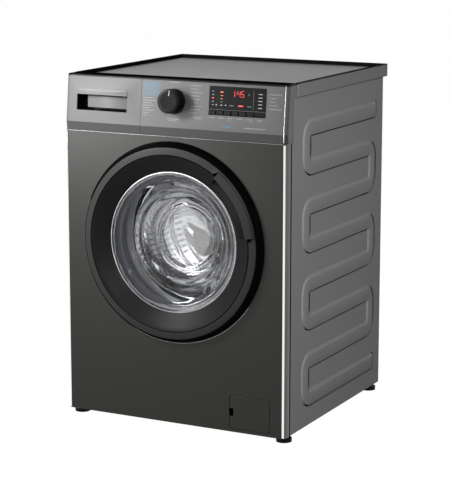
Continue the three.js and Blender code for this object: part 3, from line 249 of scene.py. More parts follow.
def wall(piece, thickness, offset=-1.0):
    """Gives a sheet its thickness, behind the face that is seen, or before it at an offset of 1."""
    solid = piece.modifiers.new("wall", "SOLIDIFY")
    solid.thickness = thickness
    solid.offset = offset
    return piece


def arc(centre, radius, start, end, steps):
    """Points on a circle from one angle to another, in degrees."""
    angle = np.radians(np.linspace(start, end, steps + 1))
    return np.stack([centre[0] + radius * np.cos(angle), centre[1] + radius * np.sin(angle)], 1)


def eased(share):
    """A smooth step from 0 to 1: three squares less two cubes of the share."""
    return share * share * (3 - 2 * share)


def right_of(step):
    """Unit vectors (across, along) to the right of each step of a line."""
    return np.stack([step[:, 1], -step[:, 0]], 1) / np.linalg.norm(step, axis=1)[:, None]


face_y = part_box("front_panel")[0].y          # front panel's face
side_low, side_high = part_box("cabinet_right_side")
side_x = 0.2965                              # plain part of the side sheets
side_lip = 0.022                             # width of the folds at front and back
side_front_y = face_y + 0.0300
seam_width = 0.0038                          # how far back the painted shade on the fold reaches
rib_height = side_high.x - side_x
rib_half = 0.0205                            # half the width of the rib at its foot
rib_front_y, rib_rear_y = face_y + 0.112, face_y + 0.506
rib_levels = 0.085 + np.arange(8) * 0.0938


def rib_path():
    """The rib's centre line (y, z): level runs joined by uprights in turn at the front and at
    the rear, every corner an arc, with stops on the level runs near their ends; with it, half
    the rib's width, rounded off at both ends."""
    radius, end_radius = 0.0265, 0.008
    long_run, near, nearer = 0.03, 0.012, 0.004
    end_y = rib_rear_y + rib_half - end_radius
    share = np.sin(np.radians(np.linspace(0, 90, 6)))
    points = [np.stack([end_y + end_radius * share[::-1], np.full(6, rib_levels[0])], 1)]
    for i, (low, high) in enumerate(zip(rib_levels[:-1], rib_levels[1:])):
        centre_y, turns = ((rib_front_y + radius, (270, 180, 90)) if i % 2 == 0
                           else (rib_rear_y - radius, (-90, 0, 90)))
        points.append(arc((centre_y, low + radius), radius, turns[0], turns[1], 10))
        points.append(arc((centre_y, high - radius), radius, turns[1], turns[2], 10))
    points.append(np.stack([end_y + end_radius * share, np.full(6, rib_levels[7])], 1))
    path = np.vstack(points)
    gaps = np.linalg.norm(np.diff(path, axis=0), axis=1)
    runs = np.flatnonzero(gaps > long_run)
    stops = [path[i] + (path[i + 1] - path[i]) * part / gaps[i]
             for i in runs for part in (nearer, near, gaps[i] / 2, gaps[i] - near, gaps[i] - nearer)]
    path = np.insert(path, np.repeat(runs + 1, 5), stops, axis=0)
    half = np.full(len(path), rib_half)
    half[-6:] -= end_radius * (1 - np.cos(np.radians(np.linspace(0, 90, 6))))
    half[:6] = half[:-7:-1]
    return path, half


def pressed_rib(side, material):
    """The rib's outline walked once round, and rings of it drawn in and raised: by a smooth
    step in front and on top, by a quarter of an ellipse behind and below. The first rings lie
    flat outside the foot and are painted near black behind and below, as painted shadow."""
    path, half = rib_path()
    across = -right_of(np.gradient(path, axis=0)) * half[:, None]
    outline = np.vstack([path + across, (path - across)[::-1]])
    outward = -right_of(np.roll(outline, -1, axis=0) - np.roll(outline, 1, axis=0))
    to_rear, upward = np.clip(outward.T, 0, 1) ** 2
    to_front, downward = np.clip(-outward.T, 0, 1) ** 2
    width = 0.0110 * to_rear + 0.0035 * to_front + 0.0120 * upward + 0.0008 * downward
    from_end = np.minimum(np.arange(len(path)), np.arange(len(path))[::-1])
    slimmer = np.where(from_end < 6, 0.45, 1.0)
    width *= np.concatenate([slimmer, slimmer[::-1]])
    turned_away = np.clip(to_rear + downward, 0, 1)
    # width of the painted shadow strip past the foot, wider behind than below
    shadow_width = 0.0003 + 0.0062 * to_rear + 0.0026 * downward ** 2
    share = np.array([0.0, 0.0, 0.0, 0.03, 0.1, 0.25, 0.4, 0.55, 0.7, 0.85, 1.0])[:, None]
    ring = outline[None] - outward[None] * (width * share)[..., None]
    ring[:2] += (outward * shadow_width[:, None])[None]
    steep = np.sqrt(1 - (1 - share) ** 2)
    raised = rib_height * (eased(share) + (steep - eased(share)) * turned_away)
    raised[:3] = [[-0.0006], [0.0001], [0.0001]]        # the foot: under the sheet, then just on it
    points = np.dstack([np.broadcast_to(side * (side_x + raised), ring.shape[:2]), ring])
    rows, count = points.shape[:2]
    grid = np.arange(rows * count).reshape(rows, count)
    turned_on = np.roll(grid, -1, axis=1)
    walls = np.stack([grid[:-1], turned_on[:-1], turned_on[1:], grid[1:]], -1).reshape(-1, 4)
    last, opposite = grid[-1, :count // 2], grid[-1, :count // 2 - 1:-1]
    top = np.stack([last[:-1], last[1:], opposite[1:], opposite[:-1]], -1)
    faces = np.vstack([walls, top])
    rib = piece_of("rib", points, faces if side < 0 else faces[:, ::-1], material)
    # the first rings behind and below take the near black material: painted shadow
    dark = np.zeros(len(faces), dtype=np.int32)
    dark[:3 * count] = np.tile((to_rear > 0.3) | (downward > 0.6), 3)
    rib.data.polygons.foreach_set("material_index", dark)
    return rib


def joined(mesh, *parts, weld=None):
    """The mesh with the parts' meshes added, welded where points lie that close; the parts'
    objects go."""
    work = bmesh.new()
    work.from_mesh(mesh)
    for part in parts:
        work.from_mesh(part.data)
        bpy.data.objects.remove(part)
    if weld:
        bmesh.ops.remove_doubles(work, verts=work.verts, dist=weld)
    work.to_mesh(mesh)
    work.free()
    return mesh


def cabinet_side(side, name, material):
    """The folded plan line (x, y) carried up from the floor edge to the worktop, cut back
    beside the fascia and under the worktop's skirt, with the rib on it."""
    bend = 0.002
    flat_y = np.concatenate([[side_front_y + seam_width], np.linspace(face_y + 0.045, face_y + 0.060, 5),
                             np.linspace(face_y + 0.1, side_high.y - 0.003, 8)])
    plan = np.vstack([[(side_x - side_lip, side_front_y)],
                      arc((side_x - bend, side_front_y + bend), bend, -90, 0, 4),
                      np.stack([np.full_like(flat_y, side_x), flat_y], 1),
                      arc((side_x - bend, side_high.y - bend), bend, 0, 90, 4),
                      [(side_x - side_lip, side_high.y)]])
    fascia_z, fascia_step, skirt_z, skirt_step = 0.7140, 0.0004, 0.8175, 0.0005
    beside_fascia, under_skirt, fade = 0.0072, 0.0287, 0.032        # cut back by; the cut fades out
    heights = np.concatenate([np.linspace(side_low.z, fascia_z - fascia_step, 12),
                              [fascia_z + fascia_step, skirt_z - skirt_step, skirt_z + skirt_step,
                               side_high.z]])
    y, z = np.meshgrid(plan[:, 1], heights)
    x = np.broadcast_to(plan[:, 0], y.shape).copy()
    x[heights > fascia_z, 0] = side_x - 0.0090
    near_front = np.clip((0.072 + face_y - y) / fade, 0, 1)
    y = y + near_front * np.where(z > skirt_z, under_skirt, np.where(z > fascia_z, beside_fascia, 0.0))
    points = np.stack([side * x, y, z], axis=-1)
    sheet = wall(sheet_of(name, points if side < 0 else points[::-1], material), 0.0015)
    # the fold in the seam takes the near black material: painted shade in the seam
    in_seam = np.tile((plan[:-1, 1] + plan[1:, 1]) / 2 < side_front_y + seam_width, len(heights) - 1)
    sheet.data.polygons.foreach_set("material_index", in_seam.astype(np.int32))
    joined(sheet.data, pressed_rib(side, material))
    sheet.data.materials.append(painted_shade)
    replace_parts(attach(sheet, "cabinet"), name)


side_paint = finish("side_paint", 153, 0.42, variation=0.02, scale=420.0, relief=0.12, specular=0.0)
# near black for the painted shadow at the rib's foot and the painted shade in the seam to the front panel
painted_shade = finish("painted_shade", 3, 0.6, specular=0.0)
cabinet_side(-1, "cabinet_left_side", side_paint)
cabinet_side(1, "cabinet_right_side", side_paint)

# ---------------------------------------------------------------- front panel
# One drawn sheet: upright corners bent to a 10 mm radius and folded back along the sides,
# a round dish drawn in behind the door, and a hole for the pump flap. Near black paint, but
# the folded sides are painted grey like the side sheets, as painted light where they face the side.
axis_z = 0.460                               # height of the door's and the drum's axis
dish_depth = 0.022
dish_square = 0.245                          # half the square that is left open round the dish
mouth_radius = 0.177
hole_left, hole_right, hole_low, hole_high = 0.1515, 0.2593, 0.0229, 0.1045      # for the flap
hole_corner = 0.006
panel_low, panel_high = (corner.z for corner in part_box("front_panel"))
panel_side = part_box("front_panel")[1].x
panel_bend = 0.010
panel_return = face_y + 0.0265


def panel_plan(flats):
    """The panel's plan line (x, y): folded edge, return, corner, the flat stations, and the
    same again mirrored."""
    bend, lip = 0.002, 0.022
    right = np.vstack([arc((panel_side - panel_bend, face_y + panel_bend), panel_bend, -90, 0, 12),
                       arc((panel_side - bend, panel_return - bend), bend, 0, 90, 3),
                       [(panel_side - lip, panel_return)]])
    left = right[::-1] * (-1, 1)
    return np.vstack([left, np.stack([flats, np.full_like(flats, face_y)], 1), right])


def object_parts(tree):
    """The object coordinates' x, y and z outputs."""
    return added(tree, "SeparateXYZ", {0: added(tree, "TexCoord").outputs["Object"]}).outputs


def blended(material, factor, level):
    """Mixes the material's colour towards another where the factor is 1."""
    tree = material.node_tree
    shader = tree.nodes["Principled BSDF"]
    colour = shader.inputs["Base Color"].links[0].from_socket
    mix = added(tree, "Mix", {0: factor, 6: colour, 7: linear(level)}, data_type="RGBA")
    filled(tree, shader, {"Base Color": mix.outputs[2]})


def step_between(tree, value, low, high):
    """0 at low, 1 at high, straight between."""
    return added(tree, "MapRange", {"Value": value, "From Min": low, "From Max": high}).outputs[0]


def front_panel():
    """A plan line carried upwards, with a square left open round the dish; the square is a
    polar grid whose rays run from its edge stations to the dish's rim, wall and mouth."""
    half, rounding = dish_square, 0.0015
    steps = np.linspace(-half, half, 37)
    square_x = np.unique(np.concatenate([steps, [hole_left]]))
    square_z = np.unique(axis_z + np.concatenate([steps, [-0.020, 0.020]]))
    flats = np.unique(np.concatenate([
        [-0.2865, -0.270], square_x, [hole_left + hole_corner, hole_right - hole_corner, hole_right],
        [0.270, 0.2865]]))
    plan = panel_plan(flats)
    levels = np.unique(np.concatenate([
        [panel_low, hole_low, hole_low + hole_corner, hole_high - hole_corner, hole_high], square_z,
        np.linspace(0.125, 0.205, 4), [panel_high - 0.0040, panel_high - rounding, panel_high]]))
    x, z = np.meshgrid(plan[:, 0], levels)
    y = np.broadcast_to(plan[:, 1], x.shape).copy()
    y[-1] = np.maximum(y[-1], face_y + rounding)
    x_mid, z_mid = (x[:-1, :-1] + x[1:, 1:]) / 2, (z[:-1, :-1] + z[1:, 1:]) / 2
    flat = y[:-1, :-1] + y[:-1, 1:] < 2 * face_y + 1e-6
    in_square = (abs(x_mid) < half) & (abs(z_mid - axis_z) < half)
    in_hole = (x_mid > hole_left) & (x_mid < hole_right) & (z_mid > hole_low) & (z_mid < hole_high) & flat
    sheet = sheet_of("front_panel_sheet", np.stack([x, y, z], -1)[::-1], panel_paint,
                     keep=~(in_square | in_hole)[::-1])

    edge = np.concatenate([
        np.stack([square_x[:-1], np.full(len(square_x) - 1, axis_z - half)], 1),
        np.stack([np.full(len(square_z) - 1, half), square_z[:-1]], 1),
        np.stack([square_x[:0:-1], np.full(len(square_x) - 1, axis_z + half)], 1),
        np.stack([np.full(len(square_z) - 1, -half), square_z[:0:-1]], 1)])
    angle = np.arctan2(edge[:, 1] - axis_z, edge[:, 0])
    profile = np.array([(0.2310, 0.0), (0.2290, 0.0), (0.2275, 0.0), (0.2268, 0.0001), (0.2259, 0.0007),
                        (0.2250, 0.0020), (0.2168, 0.0205), (0.2158, 0.0216), (0.2143, dish_depth),
                        (0.2125, dish_depth), (0.1880, dish_depth), (mouth_radius, dish_depth)])
    radius, depth = profile.T[..., None]
    rings = np.stack(np.broadcast_arrays(radius * np.cos(angle), depth, radius * np.sin(angle)), -1)
    outer = np.stack([edge[:, 0], np.full(len(edge), face_y), edge[:, 1]], -1)
    points = np.concatenate([outer[None], rings + (0, face_y, axis_z)])
    mid = (angle + np.roll(angle, -1)) / 2
    keep = np.ones((len(points) - 1, len(angle)), bool)
    keep[10] = abs(mid) >= math.radians(4.6)            # an opening for the latch, at the right
    dish = sheet_of("front_panel_dish", points[:, ::-1], panel_paint, closed=(False, True),
                    keep=np.roll(keep[:, ::-1], -1, axis=1))
    mesh = joined(bpy.data.meshes.new("front_panel"), sheet, dish, hole_corners(), weld=2e-5)
    piece = wall(mesh_piece("front_panel", mesh, panel_paint), 0.0014)
    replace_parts(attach(piece, "cabinet"), "front_panel")


def hole_corners():
    """The four corners that round the flap's hole: a fan from each corner of the square to the
    quarter circle across it."""
    points, faces = [], []
    turn = np.radians(np.linspace(0, 90, 9))
    for x, inward in ((hole_left, 1), (hole_right, -1)):
        for z, upward in ((hole_low, 1), (hole_high, -1)):
            first = len(points)
            points.append((x, face_y, z))
            points.extend(np.stack([x + inward * hole_corner * (1 - np.cos(turn)), np.full(9, face_y),
                                    z + upward * hole_corner * (1 - np.sin(turn))], 1).tolist())
            fan = first + np.stack([np.zeros(8, int), np.arange(1, 9), np.arange(2, 10)], 1)
            faces.extend((fan if inward * upward < 0 else fan[:, ::-1]).tolist())
    return piece_of("hole_corners", points, faces, panel_paint)


panel_paint = finish("panel_paint", (31, 31, 28), 0.30, variation=0.02, scale=420.0, relief=0.04,
                     specular=0.18)
panel_tree = panel_paint.node_tree
panel_x, panel_y = object_parts(panel_tree)[:2]
# painted light: the folded sides, behind the face and past the bends, are painted grey like the lit side
# sheets
behind_face = step_between(panel_tree, panel_y, face_y + 0.0028, face_y + 0.0034)
at_side = step_between(panel_tree, reckoned(panel_tree, "ABSOLUTE", panel_x), 0.2880, 0.2890)
blended(panel_paint, reckoned(panel_tree, "MULTIPLY", behind_face, at_side), 104)
front_panel()

# ---------------------------------------------------------------- corner highlights
# Slim polished strips let into the upright bends of the front panel and of the fascia, put there
# as a painted highlight down the bends.
# near white polished metal whose reflection is the painted highlight down the bends
highlight_metal = finish("highlight_metal", 236, 0.16, variation=0.02, scale=900.0, relief=0.02, metallic=1.0)


def corner_highlight(side, name, levels, corner, radius, span):
    """A polished strip on a bend, a painted highlight: an arc of the plan (rows) at each level
    (columns), 0.25 mm proud in its middle; levels is (z, setback) and corner the bend's place at no setback."""
    turn = np.radians(np.linspace(*span, 9))
    proud = radius + 0.00025 * np.sin(np.linspace(0, math.pi, 9)) ** 0.5 - 0.00002
    z, setback = np.array(levels).T
    x = (corner[0] + proud * np.sin(turn))[:, None]
    y = (corner[1] - proud * np.cos(turn))[:, None]
    points = np.stack(np.broadcast_arrays(side * x, y + setback, z), -1)
    piece = sheet_of(name, points if side < 0 else points[::-1], highlight_metal, smooth=60.0)
    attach(wall(piece, 0.0002), "cabinet")


# painted highlights down both upright bends of the front panel
for side, word in ((-1, "left"), (1, "right")):
    corner_highlight(side, f"panel_highlight_{word}", [(panel_low + 0.0020, 0.0), (panel_high - 0.0020, 0.0)],
                (panel_side - panel_bend, face_y + panel_bend), panel_bend, (16, 44))

# ---------------------------------------------------------------- door frame
# The door is two moulded rings clipped round the glass: a satin grey face with a black rim
# behind it, and a deep black funnel down to the glass. The handle fills a gap at the upper right.
handle_span = (8.3, 53.7)                    # degrees above level, at the right
hinge_reach = math.degrees(math.asin(0.093 / 0.2435))       # half the hinge's span on the rim


def round_angles(*edges, count=180):
    """Degrees round the door, with a close pair of stations on each side of every edge."""
    pairs = [edge + side for edge in edges for side in (-0.04, 0.04)]
    plain = [a for a in np.arange(0, 360, 360 / count) if all(abs(a - p) > 0.3 for p in pairs)]
    return np.sort(np.mod(np.array(plain + pairs), 360))


def turned(radius, depth, angles):
    """A profile of radius and depth behind the panel face, each a column, or a grid where it
    changes with the angle, turned about the door's axis. Rows follow it and columns go round."""
    rim = np.radians(angles)
    return np.stack(np.broadcast_arrays(radius * np.cos(rim), face_y + depth,
                                        axis_z + radius * np.sin(rim)), -1)


def ring_piece(name, profile, material, angles, closed_profile=True, smooth=35.0, change=None):
    """A turned piece; change may move the profile for each angle before it is turned."""
    radius, depth = np.array(profile).T[..., None]
    if change:
        radius, depth = change(radius, depth, angles)
    return sheet_of(name, turned(radius, depth, angles), material, (closed_profile, True), smooth=smooth)


def beside_handle(degrees, extra=0.0):
    """Where an angle is within the handle's span, widened by extra at both ends."""
    return (degrees > handle_span[0] - extra) & (degrees < handle_span[1] + extra)


door_grey = finish("door_grey", 41, 0.46, variation=0.03, scale=1500.0, relief=0.08, specular=0.06)
door_black = finish("door_black", 3, 0.42, variation=0.02, scale=1500.0, relief=0.05, specular=0.01)
funnel_black = finish("funnel_black", 13, 0.42, variation=0.03, scale=1500.0, relief=0.06, specular=0.07)
rim_angles = round_angles(*handle_span, 180 - hinge_reach, 180 + hinge_reach)


def round_handle_gap(radius, depth, degrees):
    """Next to the handle the face starts outside it."""
    return np.where(beside_handle(degrees, 0.1), np.maximum(radius, 0.2273), radius), depth


def over_hinge(radius, depth, degrees):
    """At the hinge the rim is narrower and stops short of the panel, to clear the knuckles."""
    at_hinge = abs(degrees - 180) < hinge_reach
    return (np.where(at_hinge, np.minimum(radius, 0.2336), radius),
            np.where(at_hinge, np.minimum(depth, -0.0150), depth))


face_ring = ring_piece("door_ring_face", [
    (0.2143, -0.0200), (0.2143, -0.0234), (0.2147, -0.0239), (0.2155, -0.0238), (0.2230, -0.0220),
    (0.2300, -0.0203), (0.2308, -0.0199), (0.2308, -0.0180), (0.2290, -0.0165)], door_grey, rim_angles,
    change=round_handle_gap)
rim_ring = ring_piece("door_ring_rim", [
    (0.2309, -0.0160), (0.2312, -0.0190), (0.2322, -0.0193), (0.2332, -0.0184), (0.2400, -0.0095),
    (0.2428, -0.0035), (0.2434, -0.0012), (0.2431, -0.0007), (0.2408, -0.0007), (0.2370, -0.0080),
    (0.2300, -0.0150)], door_black, rim_angles, change=over_hinge)
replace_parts(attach(rim_ring, "door"), "door_outer_ring")
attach(face_ring, "door")


def funnel_with_recess(radius, depth, degrees):
    """The funnel's outer part drops back behind the handle as a finger recess."""
    recess = beside_handle(degrees) & (radius > 0.1842) & (depth < 0.009) & (depth > -0.0235)
    return np.where(recess, np.maximum(radius, 0.2120), radius), np.where(recess, 0.0040, depth)


funnel = ring_piece("door_funnel", [
    (0.2122, -0.0226), (0.2118, -0.0238), (0.2108, -0.0236), (0.2020, -0.0183), (0.1940, -0.0138),
    (0.1840, -0.0082), (0.1780, -0.0048), (0.1712, -0.0010), (0.1700, 0.0002), (0.1702, 0.0030),
    (0.1780, 0.0030), (0.1780, 0.0140), (0.2080, 0.0140), (0.2080, 0.0110), (0.1822, 0.0110),
    (0.1822, 0.0030), (0.1830, 0.0010), (0.2122, -0.0190)], funnel_black, rim_angles, smooth=50.0,
    change=funnel_with_recess)
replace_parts(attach(funnel, "door"), "door_inner_ring")

# ---------------------------------------------------------------- door glass
# A pressed glass bowl that reaches into the drum: a wide rim behind the funnel, a sloping wall
# and a nearly flat end, with two rings pressed into it. A thin bright ring trims it. Shadow rays
# pass straight through, so that the lamps light the drum.
glass_clear, glass_tree, glass_shader = bare_material("glass_clear")
filled(glass_tree, glass_shader, {"Base Color": (0.97, 0.98, 1.0, 1), "Roughness": 0.0, "IOR": 1.3,
                                  "Transmission Weight": 1.0})
clear = added(glass_tree, "BsdfTransparent", {"Color": (0.95, 0.96, 0.98, 1)})
for_lamps = added(glass_tree, "MixShader", {"Fac": added(glass_tree, "LightPath").outputs["Is Shadow Ray"],
                                            1: glass_shader.outputs[0], 2: clear.outputs[0]})
filled(glass_tree, glass_tree.nodes["Material Output"], {"Surface": for_lamps.outputs[0]})

bowl_angles = np.arange(0, 360, 2.5)
bowl = ring_piece("door_glass", [
    (0.0004, 0.0800), (0.0500, 0.0798), (0.0680, 0.0794), (0.0715, 0.0786), (0.0740, 0.0768),
    (0.0765, 0.0752), (0.0790, 0.0748), (0.0815, 0.0756), (0.0840, 0.0770), (0.0865, 0.0776),
    (0.0900, 0.0766), (0.0950, 0.0736), (0.0985, 0.0696), (0.1010, 0.0660), (0.1050, 0.0620),
    (0.1090, 0.0580), (0.1120, 0.0556), (0.1150, 0.0512), (0.1166, 0.0462), (0.1190, 0.0420),
    (0.1225, 0.0386), (0.1262, 0.0348), (0.1290, 0.0296), (0.1320, 0.0250), (0.1420, 0.0110),
    (0.1480, 0.0060), (0.1560, 0.0036), (0.1700, 0.0034), (0.1772, 0.0034), (0.1776, 0.0040),
    (0.1776, 0.0068), (0.1770, 0.0073), (0.1620, 0.0073), (0.1560, 0.0086), (0.1500, 0.0130),
    (0.1365, 0.0300), (0.1225, 0.0500), (0.1130, 0.0640), (0.1060, 0.0740), (0.0980, 0.0800),
    (0.0850, 0.0830), (0.0500, 0.0838), (0.0004, 0.0840)], glass_clear, bowl_angles, closed_profile=False,
    smooth=60.0)
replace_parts(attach(bowl, "door"), "door_glass")

bright_trim = finish("bright_trim", 200, 0.12, variation=0.02, scale=1200.0, relief=0.03, metallic=1.0)
trim = ring_piece("glass_trim_ring", [
    (0.1706, -0.0002), (0.1700, -0.0008), (0.1690, -0.0008), (0.1684, 0.0002), (0.1682, 0.0030),
    (0.1706, 0.0030)], bright_trim, bowl_angles)
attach(trim, "door")

# ---------------------------------------------------------------- door handle
# A lever that fills the gap in the grey ring: its face carries the ring's on, and fingers go
# behind it through the recess in the funnel, beside a plain grey thumb plate.


def sector_piece(name, profile, material, span, steps=40, smooth=35.0):
    """A closed profile swept from one angle to the other, with both ends capped."""
    angles = np.linspace(*span, steps + 1)
    points = turned(*np.array(profile).T[..., None], angles)
    middle = points.mean(axis=0)
    grid = np.concatenate([points, points[:1]])
    first = np.repeat(middle[:1], len(grid), 0)[:, None]
    last = np.repeat(middle[-1:], len(grid), 0)[:, None]
    return welded(sheet_of(name, np.concatenate([first, grid, last], 1), material, smooth=smooth))


def welded(piece):
    """Closes a mesh's seams and poles."""
    work = bmesh.new()
    work.from_mesh(piece.data)
    bmesh.ops.remove_doubles(work, verts=work.verts, dist=1e-6)
    bmesh.ops.dissolve_degenerate(work, edges=work.edges, dist=1e-7)
    work.to_mesh(piece.data)
    work.free()
    return piece


lever_span = (handle_span[0] + 0.1, handle_span[1] - 0.1)
lever = sector_piece("door_handle", [
    (0.2072, -0.0244), (0.2080, -0.0250), (0.2142, -0.0240), (0.2256, -0.0210), (0.2264, -0.0204),
    (0.2264, -0.0180), (0.2110, -0.0196), (0.2106, -0.0142), (0.2076, -0.0142)], door_grey, lever_span)
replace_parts(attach(lever, "handle"), "door_handle")
thumb_plate = sector_piece("recess_plate", [
    (0.1730, -0.0022), (0.1735, -0.0030), (0.1965, -0.0034), (0.1972, -0.0026), (0.1972, 0.0020),
    (0.1730, 0.0020)], door_grey, (handle_span[0] + 1.0, handle_span[1] - 1.0))
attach(thumb_plate, "door")

# ---------------------------------------------------------------- door edge highlight
# A fine bright metal bead let into the panel along the lower half of the door's rim: a painted
# highlight where the rim's lower edge catches the light.
# bright metal for the painted highlight along the lower half of the door's rim
highlight_bead_grey = finish("highlight_bead_grey", 150, 0.34, variation=0.03, scale=900.0, relief=0.02, metallic=0.9)
door_bead = sector_piece("door_edge_highlight", [
    (0.2441, 0.0004), (0.2441, -0.0002), (0.2444, -0.0005), (0.2448, -0.0005), (0.2451, -0.0002),
    (0.2451, 0.0004)], highlight_bead_grey, (196.0, 326.0), steps=80)
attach(door_bead, "cabinet")

# ---------------------------------------------------------------- control fascia and drawer
# Two mouldings in silver grey plastic: the fascia leans back, its lower band leans under and
# is painted darker as shade, and the drawer's front carries the same face on at the left.
fascia_slope = 12 / 112                      # depth over height
band_top_z = 0.736
lean_angle = math.atan(fascia_slope)
fascia_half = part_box("control_fascia")[1].x
fascia_bend = 0.012                          # radius of its upright bends


def softened(node, body, material, width=0.0006, segments=2):
    """A merged copy of a CAD node with its flat facets joined and its edges rounded over."""
    work = bmesh.new()
    work.from_mesh(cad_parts[node].data)
    bmesh.ops.remove_doubles(work, verts=work.verts, dist=2e-6)
    bmesh.ops.dissolve_limit(work, angle_limit=math.radians(0.6), verts=work.verts, edges=work.edges)
    mesh = bpy.data.meshes.new(node)
    work.to_mesh(mesh)
    work.free()
    piece = mesh_piece(node + "_moulded", mesh, material)
    edge = piece.modifiers.new("rounded_edges", "BEVEL")
    edge.width = width
    edge.segments = segments
    edge.limit_method = "ANGLE"
    edge.angle_limit = math.radians(32.0)
    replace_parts(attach(piece, body), node)
    return piece


def silver_with_band(name, pocket):
    """Silver grey with painted light and shade: the lower band painted darker as shade, the cheeks
    paler as painted light, and the top edge painted black as shade; the drawer's finger pocket is painted
    black inside as shade."""
    made = finish(name, 78, 0.36, variation=0.02, scale=1300.0, relief=0.06, specular=0.15)
    tree = made.node_tree
    x, y, z = object_parts(tree)
    aside = reckoned(tree, "ABSOLUTE", x)
    # painted shade: the lower band, which leans under, is darker
    blended(made, step_between(tree, z, band_top_z - 0.0002, band_top_z - 0.0006), 55)
    # painted light: the cheeks, which face the sides, are paler
    blended(made, step_between(tree, aside, fascia_half - 0.0006, fascia_half - 0.0002), 106)
    # painted shade: the top edge is near black
    blended(made, step_between(tree, z, 0.8450, 0.8456), 5)
    if pocket:
        lean = reckoned(tree, "MULTIPLY_ADD", z, -fascia_slope, y)
        start = face_y - fascia_slope * band_top_z
        inside = reckoned(tree, "MULTIPLY", step_between(tree, lean, start + 0.0030, start + 0.0036),
                          step_between(tree, z, band_top_z, band_top_z + 0.001))
        # painted shade: the finger pocket is near black inside
        blended(made, inside, 6)
    return made


softened("control_fascia", "cabinet", silver_with_band("fascia_silver", False), width=0.0008)
softened("drawer_front", "drawer", silver_with_band("drawer_silver", True), width=0.0008)


def on_face(x, z, proud=0.0):
    """Points on the fascia's leaning face, proud of it by the given amount."""
    x, z = np.broadcast_arrays(x, z)
    return np.stack([x, face_y + fascia_slope * (z - band_top_z) - proud, z], -1)


def rounded_bar(left, right, low, high, radius, steps=6):
    """A rounded rectangle as points (x, z), anticlockwise."""
    return np.vstack([arc((right - radius, low + radius), radius, -90, 0, steps),
                      arc((right - radius, high - radius), radius, 0, 90, steps),
                      arc((left + radius, high - radius), radius, 90, 180, steps),
                      arc((left + radius, low + radius), radius, 180, 270, steps)])


def drawer_lip():
    """The thin lip over the finger pocket, with a rounded front edge: rings of its outline,
    from its back through the edge to its middle, on the leaning face."""
    outline = rounded_bar(-0.2650, -0.1256, 0.8022, 0.8148, 0.0032)
    sink, thickness, crown = 0.0005, 0.0010, 0.0004
    middle = outline.mean(axis=0)
    rings = [np.repeat(on_face(*middle, -sink)[None], len(outline), 0),
             on_face(*outline.T, -sink), on_face(*outline.T, thickness - crown)]
    for degrees in (30, 60, 90):
        turn = math.radians(degrees)
        inset = crown * (1 - math.cos(turn)) / np.abs(outline - middle).max(axis=0)
        ring = middle + (outline - middle) * (1 - inset)
        rings.append(on_face(*ring.T, thickness - crown + crown * math.sin(turn)))
    rings.append(np.repeat(on_face(*middle, thickness)[None], len(outline), 0))
    piece = sheet_of("drawer_lip", np.stack(rings)[:, ::-1], lip_grey, closed=(False, True), smooth=40.0)
    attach(welded(piece), "drawer")


lip_grey = finish("lip_grey", 86, 0.34, variation=0.02, scale=1300.0, relief=0.05, specular=0.15)
drawer_lip()


def pocket_plate():
    """The light grip plate at the back of the finger pocket: a bevelled slab, its left edge
    cut on a slant, standing 20 mm in."""
    corners = np.array([(-0.2440, 0.7700), (-0.1262, 0.7700), (-0.1262, 0.7990), (-0.2430, 0.7990)])
    shift = np.array([(0.0, 0.0), (0.0, 0.0), (0.0, -0.0008), (0.0, -0.0008)])
    middle = corners.mean(axis=0)
    rings = []
    for share, y in ((0.0, 0.0245), (1.0, 0.0245), (1.0, 0.0205), (0.985, 0.0200), (0.0, 0.0200)):
        ring = middle + (corners + shift - middle) * share
        rings.append(np.stack([ring[:, 0], np.full(4, face_y + y), ring[:, 1]], -1))
    piece = sheet_of("drawer_grip_plate", np.stack(rings)[:, ::-1], lip_grey, closed=(False, True))
    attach(welded(piece), "drawer")


pocket_plate()

tray_white = finish("tray_white", 214, 0.45, variation=0.03, scale=900.0, relief=0.08)
dress(tray_white, "drawer_tray", "dispenser_housing")

# ---------------------------------------------------------------- seam highlight bead
# A thin bright bead closes the joint between the fascia and the front panel; its brightness is a
# painted highlight along the panel's top edge.
# bright metal for the painted highlight along the panel's top edge
seam_highlight_grey = finish("seam_highlight_grey", 124, 0.38, variation=0.03, scale=900.0, relief=0.02, metallic=0.9)


def carried(path, offset, height):
    """A section carried along a plan line (x, y): each of its points lies that far to the
    line's right at its height. Rows follow the section and columns the line."""
    across = path + right_of(np.gradient(path, axis=0)) * offset[:, None, None]
    return np.dstack([across, np.broadcast_to(height[:, None], across.shape[:2])])


def seam_highlight_bead():
    """A small round bright section, a painted highlight, carried along the panel's plan line, just proud of
    its top edge.
    """
    past_bends, radius = 13, 0.0006
    path = panel_plan(np.linspace(-0.285, 0.285, 39))[past_bends:-past_bends]
    turn = np.radians(np.arange(0, 360, 45))
    points = carried(path, radius * np.cos(turn) - 0.0001, panel_high - 0.0003 + radius * np.sin(turn))
    piece = sheet_of("seam_highlight_bead", points[::-1], seam_highlight_grey, closed=(True, False), smooth=80.0)
    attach(piece, "cabinet")


seam_highlight_bead()

# ---------------------------------------------------------------- worktop
# A moulded frame in mid grey, with painted shade: darker over its rim and near black on its inner
# faces and its front strip; a laminate board dropped into it. A near black bead on the fascia's top
# edge is painted shadow in the joint below the frame.
frame_grey = finish("frame_grey", 146, 0.42, variation=0.03, scale=1100.0, relief=0.10, specular=0.0)
board_grey = finish("board_grey", 94, 0.45, variation=0.04, scale=2400.0, relief=0.12, specular=0.15)
# near black for the painted shadow in the joint between the fascia and the worktop
joint_shadow_black = finish("joint_shadow_black", 9, 0.45, variation=0.04, scale=1500.0, relief=0.06, specular=0.02)


